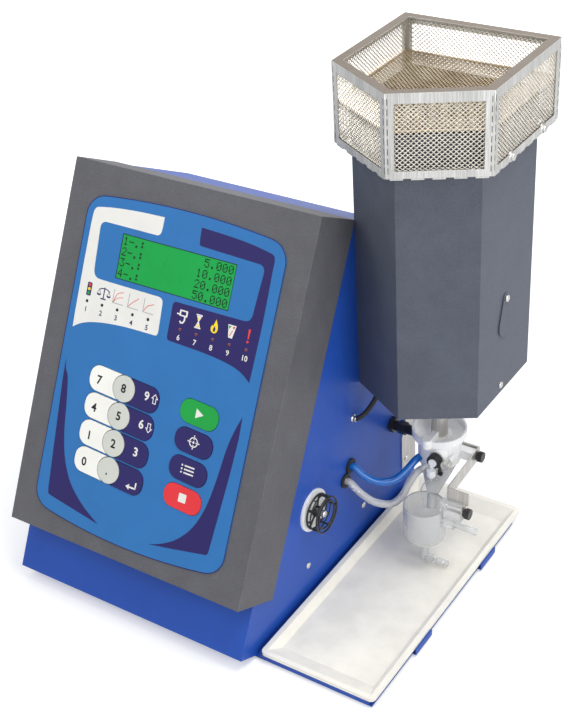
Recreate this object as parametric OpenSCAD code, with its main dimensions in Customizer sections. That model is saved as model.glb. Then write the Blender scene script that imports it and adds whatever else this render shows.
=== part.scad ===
// Bench flame photometer with a sloping control panel, side chimney, spark guard and drip tray.
// Millimetres, +Z up. The origin lies on the bench, at the middle of the whole footprint; +X is the
// right-hand side of someone facing the panel and +Y points to the back. Inside the modules X is
// counted from the cabinet's middle and Y from the panel's lower edge, and place() shifts both.

/* [Cabinet] */
// Width over the two cabinet sides
cabinet_w = 259; // [250:1:270]
// Distance from the panel's lower edge to the outside of the back
cabinet_back = 316.6; // [312:1:330]
// Lean of the panel from upright, in degrees
tilt = 28; // [24:1:30]
// Height of the cabinet floor above the bench
floor_z = 3.4; // [3:0.2:6]
// Thickness of the cabinet sheet
sheet = 1.5; // [1:0.1:2]
// Length of the cabinet front that shows below the panel
chin = 53; // [45:1:60]
// Thickness of the floor plate
floor_t = 2; // [1.5:0.5:3]
// Radius of the rubber feet
foot_r = 10; // [8:1:12]

/* [Panel hood] */
// Height of the hood's lower front edge above the bench
hood_z = 74.7; // [72:0.5:80]
// Length of the hood up its slope
hood_len = 346; // [338:1:350]
// Depth of the hood, square to its face
hood_depth = 58; // [50:1:66]
// Thickness of the hood sheet
hood_t = 1.2; // [1:0.1:1.6]
// Gap between the hood and the cabinet inside it
hood_gap = 0.3; // [0.2:0.1:0.5]
// How far the cabinet front lies behind the hood's face
hood_inset = 27.2; // [25:0.5:32]

/* [Overlay] */
// Half the width of the printed overlay
overlay_half = 107.6; // [104:0.5:112]
// Lower edge of the overlay at its corners, up the slope
overlay_low = 24; // [20:1:28]
// Upper edge of the overlay at its corners, up the slope
overlay_high = 316; // [312:1:320]
// Bow of the overlay's upper edge
bow_top = 7; // [4:1:12]
// Bow of the overlay's lower edge
bow_low = 10; // [6:1:12]
// Corner radius of the overlay
overlay_r = 20; // [14:1:26]
// Thickness of the overlay
overlay_t = 0.8; // [0.5:0.1:1.2]

/* [Display] */
// Width of the display window
lcd_w = 123.8; // [110:1:126]
// Height of the display window
lcd_h = 40.8; // [36:1:44]
// Middle of the display window up the slope
lcd_v = 269.1; // [266:0.5:272]
// Sideways middle of the display window
lcd_x = -1; // [-4:0.5:4]
// Height of the row of status lamps up the slope
lamp_v = 221.3; // [219:0.5:224]
// Spacing of the status lamps
lamp_pitch = 17.5; // [16:0.5:18]
// Diameter of a status lamp
lamp_d = 3; // [2:0.5:4]

/* [Keys] */
// Sideways middle of the number keys
pad_x = -30; // [-34:1:-28]
// Lowest row of keys up the slope
row_v = 77.7; // [75:0.5:82]
// Spacing of the key rows
row_pitch = 25.6; // [25:0.1:27]
// Slant of the key rows, in degrees
row_slant = -3.5; // [-5:0.5:0]
// Radius of the round middle keys
round_r = 12.1; // [11:0.1:12.3]
// Length of a row of number keys
row_len = 79; // [74:1:82]
// Breadth of a row of number keys
row_h = 23.6; // [22:0.2:24]
// Sideways middle of the function keys
func_x = 53.5; // [50:1:56]
// Length of a function key
func_len = 40.5; // [36:1:44]
// Breadth of a function key
func_h = 21.5; // [18:0.5:23]
// Travel of a key
key_travel = 0.5; // [0.3:0.1:0.8]
// How far a key stands above the overlay
key_proud = 0.6; // [0.5:0.1:1]

/* [Chimney] */
// Width of the chimney
chimney_w = 120; // [112:1:124]
// Height of the chimney's lower edge
chimney_low = 185; // [180:1:192]
// Height of the chimney's upper edge
chimney_high = 456; // [450:1:460]
// Where the chimney's sides end and its pointed front begins
chimney_side_y = 214.3; // [208:1:220]
// Foremost point of the chimney
chimney_tip_y = 179.5; // [172:1:186]
// Thickness of the chimney sheet
chimney_t = 1.2; // [1:0.1:1.6]
// Height of the flame's optical axis
optic_z = 226; // [220:1:232]
// Bore of the optical port
optic_d = 32; // [26:1:36]
// Height of the shutter's pivot
shutter_z = 282; // [276:1:288]
// Distance from the shutter's pivot to its disc
shutter_len = 26; // [24:1:30]
// Radius of the shutter's disc
shutter_r = 12; // [11:0.5:14]
// Bore of the viewing hole
view_d = 16; // [12:1:18]

/* [Guard] */
// How far the guard stands outside the chimney
guard_out = 12; // [10:0.5:14]
// Height of the guard's lower edge
guard_low = 424.7; // [420:1:428]
// Height of the guard's upper edge
guard_high = 495.8; // [490:1:500]
// Thickness of the guard's frames
guard_t = 1; // [0.8:0.1:1.4]
// Width of the rim round the guard's open top
rim_w = 8; // [6:0.5:10]
// Side margin of a guard window
margin_side = 7; // [5:0.5:9]
// Upper margin of a guard window
margin_top = 8.7; // [7:0.5:10]
// Lower margin of a guard window
margin_low = 6.4; // [6:0.2:9]
// Height of the mesh floor
mesh_z = 463; // [460:1:466]
// Width of a strand of the mesh
strand = 1.5; // [1:0.1:2]
// Across-corner pitch of the mesh openings
mesh_pitch = 11; // [10:0.5:14]

/* [Drip tray] */
// Gap between the cabinet and the drip tray
tray_gap = 5.3; // [3:0.1:8]
// Width of the tray
tray_w = 116.6; // [110:1:122]
// Front edge of the tray's rim
tray_front = 20.5; // [18:0.5:24]
// Length of the tray
tray_len = 293.5; // [280:1:300]
// Height of the tray's rim above the bench
tray_z = 11.4; // [11:0.2:13]
// Depth of the rim's turned-down lip
lip_h = 3.2; // [2:0.2:3.6]
// Width of the flat rim
tray_rim = 5; // [4:0.5:7]
// Wall of the tray
tray_t = 1.5; // [1.2:0.1:2]
// Corner radius of the tray's rim
tray_r = 5; // [3:0.5:8]
// Run of the tray's sloping end walls
end_run = 15; // [8:1:20]
// Run of the tray's sloping side walls
side_run = 6; // [4:1:9]
// Thickness of the carrier sheet
carrier_t = 1.2; // [1:0.1:1.4]
// Length of a carrier tab
tab_len = 30; // [20:1:36]
// Upward travel of the tray when it is lifted off the carrier
tray_lift = 1.5; // [0.5:0.5:2]

/* [Burner] */
// Distance of the burner's axis from the cabinet's side
burner_out = 60.5; // [57:0.5:64]
// Front-to-back place of the burner's axis
burner_y = 257; // [254:1:260]
// Radius of the mixing chamber
chamber_r = 20.2; // [19:0.2:21]
// Lower edge of the mixing chamber
chamber_low = 90; // [88:1:92]
// Underside of the chamber's dish
dish_low = 119; // [118:0.5:122]
// Height of the dish's rim
dish_high = 128; // [126:1:132]
// Radius of the dish
dish_r = 26; // [24:0.5:28]
// Height of the burner's top
burner_high = 196; // [190:1:202]
// Radius of the burner's head
head_r = 13; // [11:0.5:16]
// Radius of the burner's stem
stem_r = 8; // [6:0.5:9]

// Lower end of the drain tube
drain_low = 69; // [66:0.5:71]
// Outer radius of the drain tube
drain_r = 4.8; // [4:0.1:5]

/* [Nebuliser] */
// Sideways distance of the nebuliser from the burner's axis
neb_out = 8.3; // [7:0.1:9.5]
// Height of the nebuliser's axis
neb_z = 107.5; // [106:0.5:109]
// Radius of the ribbed nut
nut_r = 6.8; // [6:0.1:7.2]
// Length of the ribbed nut
nut_len = 7; // [6:0.5:8]
// Radius of the nebuliser's barrel
barrel_r = 3.2; // [2.5:0.1:4]
// Radial clearance of turning fits
run_fit = 0.05; // [0.02:0.01:0.1]
// Length of the locking lever
lever_len = 15.3; // [14:0.1:15.5]

/* [Cup and arm] */
// Sideways distance of the cup from the burner's axis
cup_out = 11; // [9:0.5:12]
// Front-to-back place of the cup's axis
cup_y = 206; // [204:0.5:207]
// Height of the cup's rim
cup_rim = 74.5; // [73:0.5:76]
// Outer radius of the cup
cup_r = 20; // [18:0.5:20.5]
// Wall of the cup
cup_t = 1.6; // [1.2:0.1:2]
// Height of the cup's straight wall
cup_wall = 34; // [28:1:38]
// Height of the drain elbow's middle
elbow_z = 11.3; // [11:0.1:13]
// Outer radius of the drain spouts
spout_r = 3.2; // [2.8:0.1:3.6]
// Bore radius of the drain spouts
spout_bore = 2; // [1.5:0.1:2.2]
// Length of the lower spout that takes a hose
spout_len = 16; // [12:1:20]
// Length of the overflow spout that takes a hose
overflow_len = 22; // [16:1:26]
// How far the overflow spout lies below the rim
overflow_drop = 11.8; // [10:0.2:14]
// Sideways distance of the arm's inside face from the burner's axis
arm_out = 33.3; // [32:0.1:35]
// Thickness of the arm strip
arm_t = 1.2; // [1:0.1:1.6]
// Height of the arm's lower edge at its front
arm_z = 87.7; // [86:0.1:90]
// How much higher the arm's back end lies than its front
arm_rise = 4.6; // [0:0.2:8]
// Breadth of the arm strip
arm_h = 14; // [12:0.5:16]
// Front-to-back place of the arm's front flange
arm_front = 208; // [207:0.5:210]
// Front-to-back place of the arm's rear flange
arm_back = 273; // [272:0.5:276]
// Length of the arm's rear flange
arm_tail = 18.5; // [12:0.5:19]
// Length of the arm's front flange
arm_reach = 22; // [20:0.5:26]
// Radius of a thumbscrew's head
thumb_r = 5.2; // [4.5:0.1:6]
// Length of a thumbscrew's head
thumb_len = 6; // [5:0.5:8]
// Radius of a thumbscrew's shank
shank_r = 2; // [1.5:0.1:2.5]
// Front-to-back distance from the arm's rear flange to the upper thumbscrew
upper_screw_in = 5.6; // [5:0.2:9]
// Depth of the lower thumbscrew below the arm's lower edge
lower_screw_drop = 7.9; // [6:0.1:9]

/* [Valve] */
// Front-to-back place of the valve's axis
valve_y = 125.3; // [120:1:130]
// Height of the valve's axis
valve_z = 97.5; // [94:0.5:102]
// Radius of the white backing plate
plate_r = 20.7; // [19.6:0.1:23]
// Radius of the handwheel
wheel_r = 18.4; // [16:0.2:19]
// Depth of the handwheel
wheel_len = 13; // [11:0.5:16]
// Radius of the valve's spindle
spindle_r = 3; // [2.5:0.1:4]
// Number of wheel spokes
spokes = 5; // [3:1:8]

/* [Hoses] */
// Outer radius of the two hoses
hose_r = 3.6; // [3:0.1:4]
// Bore radius of the two hoses
hose_bore = 2.2; // [1.5:0.1:2.6]
// Outer radius of the ignition lead
lead_r = 2.4; // [2:0.1:3]

/* [Hidden] */
$fn = 48;

// Colours as the photograph shows them
blue = "#1f4fa8";
hood_grey = "#55565c";
sky = "#2f7fce";
navy = "#2a2468";
cream = "#f1efe2";
steel = "#b9b6ae";
black = "#1b1b1e";
slate = "#565c6b";
milky = "#e9edf0";

// Small clearances
slide_gap = 0.35;   // round a key and other sliding pieces
seat = 0.3;         // between a loose piece and what carries it
bump_h = 1.2;       // height of the guard's pressed tabs
screw_head_h = 2;   // height of a screw's head
barb_len = 23;      // length of the gas inlet outside the back

// Places worked out from the sizes above
side_x = cabinet_w / 2;
hood_w = cabinet_w + 2 * (hood_gap + hood_t);
tray_left = side_x + tray_gap;
burner_x = side_x + burner_out;
neb_x = burner_x + neb_out;
cup_x = burner_x + cup_out;
arm_x = burner_x + arm_out;
cabinet_top = hood_len - hood_t - hood_gap;
// A point on the panel's own axes (up the slope, depth behind the face) in the Y-Z plane
function panel_yz(up, deep) = [
    up * sin(tilt) + deep * cos(tilt),
    hood_z + up * cos(tilt) - deep * sin(tilt)
];
chin_yz = panel_yz(-chin, hood_inset);
ridge_yz = panel_yz(cabinet_top, hood_inset);
back_deep = (cabinet_back - cabinet_top * sin(tilt)) / cos(tilt);
back_top_z = panel_yz(cabinet_top, back_deep)[1];
heel_y = chin_yz[0] + (chin_yz[1] - floor_z) / tan(tilt);

chimney_x0 = side_x;
chimney_x1 = side_x + chimney_w;
chimney_mid = side_x + chimney_w / 2;
chimney_back = cabinet_back;
tray_right = tray_left + tray_w;
tray_back = tray_front + tray_len;
carrier_top = floor_z - 0.2;
tray_low = carrier_top + seat;
pivot_y = chimney_side_y + 49.2;
upper_screw_y = arm_back - upper_screw_in;
arm_slope = arm_rise / (arm_back - arm_front);
upper_screw_z = arm_z + arm_h / 2 + arm_slope * (upper_screw_y - arm_front);
ear_x = arm_x + 17.3;
lower_screw_y = arm_front - 1;
lower_screw_z = arm_z - lower_screw_drop;
spout_z = cup_rim - overflow_drop;
neb_face = burner_y - chamber_r - 1.4;

// Middle of the whole footprint
foot_x = (chimney_x1 + guard_out + bump_h + screw_head_h - side_x - screw_head_h) / 2;
foot_y = (cabinet_back + barb_len + chin_yz[0]) / 2;
module place() { translate([-foot_x, -foot_y, 0]) children(); }

// Points along an arc, from one angle to another
function arc(cx, cy, r, a0, a1, n) = [
    for (i = [0 : n]) let (a = a0 + (a1 - a0) * i / n) [cx + r * cos(a), cy + r * sin(a)]
];
// Rectangle with round corners about the origin
function round_rect(w, h, r, n = 8) = concat(
    arc(w / 2 - r, h / 2 - r, r, 0, 90, n), arc(r - w / 2, h / 2 - r, r, 90, 180, n),
    arc(r - w / 2, r - h / 2, r, 180, 270, n), arc(w / 2 - r, r - h / 2, r, 270, 360, n)
);
// Plan of the chimney and guard: square at the back, pointed at the front
function house(x0, x1, back, side, tip) = [
    [x0, back], [x0, side], [(x0 + x1) / 2, tip], [x1, side], [x1, back]
];
// The same plan moved inward by d
house_angle = atan((chimney_side_y - chimney_tip_y) / (chimney_w / 2));
function house_in(d) = house(
    chimney_x0 + d, chimney_x1 - d, chimney_back - d,
    chimney_side_y + d / cos(house_angle) - d * tan(house_angle),
    chimney_tip_y + d / cos(house_angle)
);

// Local axes: x sideways, y up the slope, z out of the panel's face
module on_panel() { translate([0, 0, hood_z]) rotate([90 - tilt, 0, 0]) children(); }
// Local axes on the right-hand cabinet side: x to the back, y up, z outward
module on_side(y, z) { translate([side_x, y, z]) rotate([90, 0, 90]) children(); }
// Local axes on the back: x to the left, y up, z outward
module on_back(x, z) { translate([x, cabinet_back, z]) rotate([90, 0, 180]) children(); }

// Prism across the cabinet from a profile drawn in Y and Z
module across(points, w) {
    translate([-w / 2, 0, 0]) rotate([90, 0, 90]) linear_extrude(w) polygon(points);
}

// Pan head with a crowned top, its base on z = 0
module pan_head(r, h) {
    rotate_extrude() polygon([
        [0, 0], [r, 0], [r, h * 0.45], [r * 0.86, h * 0.8], [r * 0.5, h], [0, h]
    ]);
}

// Round bar between two points
module rod(a, b, r) {
    v = b - a;
    translate(a) rotate([0, acos(v[2] / norm(v)), atan2(v[1], v[0])]) cylinder(r = r, h = norm(v));
}

// Fluted cylinder for knobs and thumbscrews
module fluted(r, h, flutes, depth) {
    linear_extrude(h) polygon([
        for (i = [0 : 4 * flutes - 1])
            let (a = 90 * i / flutes, q = r - (i % 4 < 2 ? 0 : depth)) [q * cos(a), q * sin(a)]
    ]);
}

// ---------------------------------------------------------------- cabinet

cabinet_profile = [
    chin_yz, ridge_yz, [cabinet_back, back_top_z], [cabinet_back, floor_z], [heel_y, floor_z]
];
function inner_profile(t) = [
    panel_yz(-chin + t, hood_inset + t), panel_yz(cabinet_top - t, hood_inset + t),
    [cabinet_back + 1, back_top_z - t / cos(tilt) - tan(tilt)],
    [cabinet_back + 1, floor_z - 1], [heel_y + (t + 1) / tan(tilt) + t / sin(tilt), floor_z - 1]
];

module base_plate() {
    color(blue) {
        front = heel_y + sheet / sin(tilt) + 4;
        inside = cabinet_w - 2 * sheet - 2 * seat;
        difference() {
            translate([-inside / 2, front, floor_z])
                cube([inside, cabinet_back - sheet - seat - front, floor_t]);
            for (i = [0 : 6])
                translate([-60, 100 + 14 * i, floor_z - 1]) cube([120, 5, floor_t + 2]);
        }
        for (s = [-1, 1])
            translate([s * (inside / 2 - 0.6) - 0.6, front, floor_z])
                cube([1.2, cabinet_back - sheet - seat - front, 14]);
    }
}

module feet() {
    color(black) {
        for (x = [34.5 - side_x, side_x - 44.5], y = [46, cabinet_back - 24.6])
            translate([x, y, 0]) cylinder(r = foot_r, h = floor_z);
        for (y = [tray_front + 39.5, tray_back - 44])
            translate([tray_right - 14, y, 0]) cylinder(r = 6, h = carrier_top - carrier_t);
    }
}

module casing() {
    color(blue) difference() {
        across(cabinet_profile, cabinet_w);
        across(inner_profile(sheet), cabinet_w - 2 * sheet);
        // opening behind the display and keys
        on_panel() translate([29.5 - side_x, 30, -hood_inset - 6])
            cube([cabinet_w - 59, hood_len - 66, 12]);
        // optical port
        on_side(burner_y, optic_z) translate([0, 0, -5]) cylinder(d = optic_d, h = 10);
        // grommet holes
        for (p = hose_ports)
            on_side(p[0], p[1]) translate([0, 0, -5]) cylinder(r = grommet_neck, h = 10);
        // spindle, igniter and burner mount
        on_side(valve_y, valve_z) translate([0, 0, -5]) cylinder(r = spindle_r + 1.5, h = 10);
        on_side(lead_port[0], lead_port[1]) translate([0, 0, -5]) cylinder(r = lead_r + 0.4, h = 10);
        // fixing screws
        for (s = side_screws, m = [-1, 1])
            translate([m * side_x, s[0], s[1]]) rotate([0, 90, 0])
                cylinder(r = 1.7, h = 6, center = true);
        on_side(plate_screw[0], plate_screw[1]) translate([0, 0, -5]) cylinder(r = 1.7, h = 10);
    }
}
side_screws = [[112, 40.4], [213, 40.3]];
plate_screw = [cabinet_back - 19.6, 42];
hose_ports = [[192, 103], [182, 92]];
grommet_neck = 5.6;
lead_port = [200, 153];

module rear_panel() {
    color(blue) difference() {
        translate([-side_x + sheet + seat, cabinet_back - sheet, floor_z + floor_t])
            cube([cabinet_w - 2 * sheet - 2 * seat, sheet,
                  rear_top - floor_z - floor_t]);
        // switched mains inlet and gas inlet
        on_back(inlet_x, inlet_z) translate([-inlet_w / 2, -inlet_h / 2, -5])
            cube([inlet_w, inlet_h, 10]);
        for (x = [-inlet_screw, inlet_screw])
            on_back(inlet_x + x, inlet_z) translate([0, 0, -5]) cylinder(r = 1.7, h = 10);
        on_back(gas_x, gas_z) translate([0, 0, -5]) cylinder(r = 6.2, h = 10);
        // louvres
        for (i = [0 : floor((rear_top - 152) / 14)], x = [-45, 45])
            on_back(x, 120 + 14 * i) translate([-35, -2, -5]) cube([70, 4, 10]);
        for (x = rear_screw_x, z = rear_screw_z)
            on_back(x, z) translate([0, 0, -5]) cylinder(r = 1.7, h = 10);
    }
}
rear_top = back_top_z - sheet / cos(tilt) - 2;
rear_screw_x = [-side_x + 14.5, side_x - 14.5];
rear_screw_z = [24, rear_top - 14];
inlet_x = 49.5 - side_x;
inlet_z = 62;
inlet_w = 28;
inlet_h = 48;
inlet_screw = 20;
rocker_up = 14.5;
rocker_w = 19;
rocker_h = 13.2;
gas_x = side_x - 59.5;
gas_z = 60;

// Pan head screw along +z, its head on z = 0
module screw(shank) {
    pan_head(3.2, screw_head_h);
    translate([0, 0, -shank]) cylinder(r = 1.6, h = shank + 0.5);
}
module fixing_screws() {
    color(steel) {
        for (s = side_screws, m = [0, 1]) mirror([m, 0, 0]) on_side(s[0], s[1]) screw(4);
        for (x = rear_screw_x, z = rear_screw_z) on_back(x, z) screw(4);
        for (x = [-inlet_screw, inlet_screw])
            on_back(inlet_x + x, inlet_z) translate([0, 0, 3]) screw(6);
        // shutter pivot and the screw below it
        translate([chimney_x1 + 2 * seat + shutter_t, pivot_y, shutter_z]) rotate([0, 90, 0])
            screw(5);
        translate([chimney_x1, pivot_y - 4.5, chimney_low + 8.7]) rotate([0, 90, 0]) screw(4);
        // guard screws, right and left
        for (y = standoff_y, m = [0, 1])
            translate([chimney_mid, y, standoff_z]) mirror([m, 0, 0])
                translate([chimney_w / 2 + guard_out + bump_h, 0, 0]) rotate([0, 90, 0])
                    screw(guard_out + 4);
        on_side(plate_screw[0], plate_screw[1]) translate([0, 0, sheet]) screw(5);
    }
}

// ---------------------------------------------------------------- panel

module bezel() {
    color(hood_grey) on_panel() difference() {
        translate([-hood_w / 2, 0, -hood_depth]) cube([hood_w, hood_len, hood_depth]);
        translate([hood_t - hood_w / 2, hood_t, -hood_depth - 1])
            cube([hood_w - 2 * hood_t, hood_len - 2 * hood_t, hood_depth + 1 - hood_t]);
        // the lower flange stops against the cabinet front
        translate([hood_t - hood_w / 2, -1, -hood_depth - 1])
            cube([hood_w - 2 * hood_t, hood_t + 2, hood_depth + 1 - hood_inset + hood_gap]);
        // openings behind the overlay
        translate([lcd_x - lcd_w / 2 - 1, lcd_v - lcd_h / 2 - 1, -2])
            cube([lcd_w + 2, lcd_h + 2, 4]);
        key_holes();
        lamps(lamp_d + 0.2, -2, 4);
    }
}

// Shapes of the three kinds of keys, grown by g for their holes
function side_key(g) = let (h = row_h / 2 + g, w = row_len / 2 + g, r = 10 + g,
        q = round_r + 2 * slide_gap, a = asin(min(1, h / q))) concat(
    arc(w - r, h - r, r, 90, 0, 8), arc(w - r, r - h, r, 0, -90, 8),
    arc(0, 0, q, -a, a, 16)
);
module key_shape(kind, g) {
    if (kind == "round") circle(r = round_r + g);
    if (kind == "right") polygon(side_key(g));
    if (kind == "left") rotate(180) polygon(side_key(g));
    if (kind == "function") polygon(round_rect(func_len + 2 * g, func_h + 2 * g, 10 + g));
    if (kind == "row") {
        polygon(round_rect(row_len + 2 * g, row_h + 2 * g, 10 + g));
        circle(r = round_r + g);
    }
}
module at_key(kind, row) {
    x = kind == "function" ? func_x : pad_x;
    translate([x, row_v + row_pitch * row, 0]) rotate(row_slant) children();
}
module key_holes() {
    for (row = [0 : 3], kind = ["row", "function"])
        at_key(kind, row) translate([0, 0, -3]) linear_extrude(6) key_shape(kind, slide_gap);
}
key_deep = 2.4;
module key(kind, row, tint) {
    color(tint) on_panel() at_key(kind, row) translate([0, 0, -key_deep])
        linear_extrude(key_deep + overlay_t + key_proud) key_shape(kind, 0);
}

module lamps(d, z, h) {
    for (i = [0 : 4], x = [-88.9, 16.2])
        translate([x + lamp_pitch * i, lamp_v, z]) cylinder(d = d, h = h);
}

// Outline of the overlay: straight sides, bowed top and bottom, round corners
function bowed(half, low, high, top, bottom, r, n = 10) =
    let (rt = (half * half / top + top) / 2, rb = (half * half / bottom + bottom) / 2,
         at = asin((half - r) / rt), ab = asin((half - r) / rb)) concat(
    arc(half - r, high - r + top * 0.3, r, 0, 90 - at, 6),
    arc(0, high + top - rt, rt, 90 - at, 90 + at, n),
    arc(r - half, high - r + top * 0.3, r, 90 + at, 180, 6),
    arc(r - half, low + r - bottom * 0.3, r, 180, 270 - ab, 6),
    arc(0, low - bottom + rb, rb, 270 - ab, 270 + ab, n),
    arc(half - r, low + r - bottom * 0.3, r, 270 + ab, 360, 6)
);

module overlay() {
    color(sky) on_panel() difference() {
        linear_extrude(overlay_t)
            polygon(bowed(overlay_half, overlay_low, overlay_high, bow_top, bow_low, overlay_r));
        translate([lcd_x - lcd_w / 2, lcd_v - lcd_h / 2, -1]) cube([lcd_w, lcd_h, 4]);
        key_holes();
        lamps(lamp_d + 0.2, -1, 4);
    }
}

module display_window() {
    color("#0b9a46") on_panel()
        translate([lcd_x - lcd_w / 2 + 0.1, lcd_v - lcd_h / 2 + 0.1, -hood_t])
            cube([lcd_w - 0.2, lcd_h - 0.2, hood_t + overlay_t - 0.3]);
}

module display_module() {
    color("#2d5a3c") on_panel() translate([lcd_x, lcd_v, -hood_t - seat]) {
        translate([-lcd_w / 2 - 4, -lcd_h / 2 - 4, -7]) cube([lcd_w + 8, lcd_h + 8, 7]);
        difference() {
            translate([-lcd_w / 2 - 11, -lcd_h / 2 - 10, -8.6]) cube([lcd_w + 22, lcd_h + 20, 1.6]);
            for (x = [-1, 1], y = [-1, 1])
                translate([x * (lcd_w / 2 + 8), y * (lcd_h / 2 + 7), -9]) cylinder(r = 1.7, h = 3);
        }
    }
}

module status_leds() {
    color("#5a2a22") on_panel() lamps(lamp_d, -board_deep, board_deep + overlay_t);
}

board_deep = key_deep + key_travel + 0.3;
module front_board() {
    color("#2c6b41") on_panel() difference() {
        translate([-overlay_half + 3.6, 40, -board_deep - 1.6])
            cube([2 * overlay_half - 7.2, lamp_v + 9 - 40, 1.6]);
        for (x = [8.6 - overlay_half, overlay_half - 8.6], y = [46, 135, lamp_v + 2.7])
            translate([x, y, -board_deep - 2]) cylinder(r = 1.7, h = 3);
    }
}

// ---------------------------------------------------------------- chimney and guard

module chimney() {
    color(slate) difference() {
        translate([0, 0, chimney_low]) linear_extrude(chimney_high - chimney_low)
            polygon(house_in(0));
        translate([0, 0, chimney_low - 1]) linear_extrude(chimney_high - chimney_low + 2)
            polygon(house_in(chimney_t));
        translate([chimney_x0 - 1, burner_y, optic_z]) rotate([0, 90, 0])
            cylinder(d = optic_d, h = 5);
        translate([chimney_x1 - 5, pivot_y, shutter_z - shutter_len]) rotate([0, 90, 0])
            cylinder(d = view_d, h = 10);
        for (z = [shutter_z, chimney_low + 8.7])
            translate([chimney_x1 - 5, pivot_y - (z < shutter_z ? 4.5 : 0), z]) rotate([0, 90, 0])
                cylinder(r = 1.6, h = 10);
        for (y = standoff_y, x = [chimney_x0, chimney_x1])
            translate([x, y, standoff_z]) rotate([0, 90, 0])
                cylinder(r = 1.6, h = 8, center = true);
    }
}

shutter_t = 1;
module view_shutter() {
    color(slate) translate([chimney_x1 + seat, pivot_y, shutter_z]) rotate([90, 0, 90])
        difference() {
            linear_extrude(shutter_t) pear(4.6, shutter_r, shutter_len);
            translate([0, 0, -1]) cylinder(r = 1.6 + run_fit, h = 3);
        }
}
// Two circles joined by their tangents, the small one at the origin and the large one below
module pear(r1, r2, gap) {
    a = asin((r2 - r1) / gap);
    polygon(concat(arc(0, 0, r1, a, 180 - a, 10), arc(0, -gap, r2, 180 - a, 360 + a, 24)));
}

standoff_y = [239.8, 299];
standoff_z = guard_low + 3;

// Places a child on each of the guard's five walls: x along the wall, y up, z outward
guard_plan = house_in(-guard_out);
module on_walls(skip = []) {
    for (i = [0 : 4]) let (a = guard_plan[i], b = guard_plan[(i + 1) % 5]) {
        len = norm(b - a);
        translate([a[0], a[1], guard_low]) rotate([0, 0, atan2(b[1] - a[1], b[0] - a[0])])
            rotate([90, 0, 0]) {
                $wall_len = len;
                $wall = i;
                children();
            }
    }
}
wall_h = guard_high - guard_low;

module guard_frame() {
    color(steel) {
        difference() {
            translate([0, 0, guard_low]) linear_extrude(wall_h) polygon(guard_plan);
            translate([0, 0, guard_low + guard_t]) linear_extrude(wall_h - 2 * guard_t)
                polygon(house_in(guard_t - guard_out));
            translate([0, 0, guard_low - 1]) linear_extrude(wall_h + 2)
                polygon(house_in(rim_w - guard_out));
            on_walls() translate([margin_side, margin_low, -4])
                cube([$wall_len - 2 * margin_side, wall_h - margin_low - margin_top, 8]);
            for (y = standoff_y, x = [guard_plan[0][0], guard_plan[4][0]])
                translate([x, y, standoff_z]) rotate([0, 90, 0])
                    cylinder(r = 1.7, h = 8, center = true);
        }
        // pressed tabs and spacers that carry the guard on the chimney
        for (y = standoff_y, m = [0, 1])
            translate([chimney_mid, y, standoff_z]) mirror([m, 0, 0])
                translate([chimney_w / 2, 0, 0]) rotate([0, 90, 0]) difference() {
                    union() {
                        cylinder(r = 2.6, h = guard_out - guard_t / 2);
                        translate([0, 0, guard_out - guard_t])
                            cylinder(r1 = 5.2, r2 = 3.6, h = guard_t + bump_h);
                    }
                    translate([0, 0, -1]) cylinder(r = 1.7, h = guard_out + 4);
                }
    }
}

// Diamond openings that fill a w by h sheet, in staggered rows
function diamonds(w, h, pitch, s) = let (nx = floor((w - s) / pitch), ny = floor(2 * (h - s) / pitch))
    [for (j = [1 : ny - 1], i = [0 : nx - (j % 2 == 0 ? 1 : 0)])
        let (x = (w - nx * pitch) / 2 + pitch * (i + (j % 2 == 0 ? 0.5 : 0)),
             y = (h - ny * pitch / 2) / 2 + pitch * j / 2, r = pitch / 2 - s / 2 * sqrt(2))
        if (x - r > s && x + r < w - s) [x, y, r]];
module mesh_sheet(w, h, t) {
    linear_extrude(t) offset(delta = 0.01) difference() {
        square([w, h]);
        for (d = diamonds(w, h, mesh_pitch, strand))
            translate([d[0], d[1]]) rotate(45) square(d[2] * sqrt(2), center = true);
    }
}

mesh_t = 0.8;
module mesh_walls() {
    color(steel) on_walls() translate([margin_side - 3, margin_low - 0.5, -guard_t - mesh_t - 0.05])
        mesh_sheet($wall_len - 2 * margin_side + 6, wall_h - margin_low - margin_top + 3.5, mesh_t);
}

module mesh_floor() {
    color("#b39a76") translate([0, 0, mesh_z]) linear_extrude(mesh_t) offset(delta = 0.01)
        difference() {
            polygon(house_in(guard_t + mesh_t + 0.2 - guard_out));
            intersection() {
                polygon(house_in(5 - guard_out));
                translate([guard_plan[0][0], chimney_tip_y - guard_out])
                    for (d = diamonds(chimney_w + 2 * guard_out,
                            chimney_back - chimney_tip_y + 2 * guard_out, mesh_pitch * 1.3, strand))
                        translate([d[0], d[1]]) rotate(45) square(d[2] * sqrt(2), center = true);
            }
        }
}

// ---------------------------------------------------------------- drip tray

module tray_carrier() {
    color(blue) {
        front = tray_front + 1;
        inner = side_x - 34.5;
        translate([inner, front, carrier_top - carrier_t])
            cube([tray_right - inner - 2, tray_len - 16, carrier_t]);
        // front lip
        translate([tray_left - 1, front, carrier_top - carrier_t])
            cube([tray_w - 4, carrier_t, tray_z - lip_h - 1 - carrier_top + carrier_t]);
        // side tabs
        for (y = tab_y) {
            translate([tray_right - 3, y, carrier_top - carrier_t]) cube([4.6, tab_len, carrier_t]);
            translate([tray_right + 0.4, y, carrier_top - carrier_t])
                cube([carrier_t, tab_len, tray_z - lip_h - carrier_top + carrier_t]);
        }
    }
}
tab_y = [94, 223];

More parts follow.
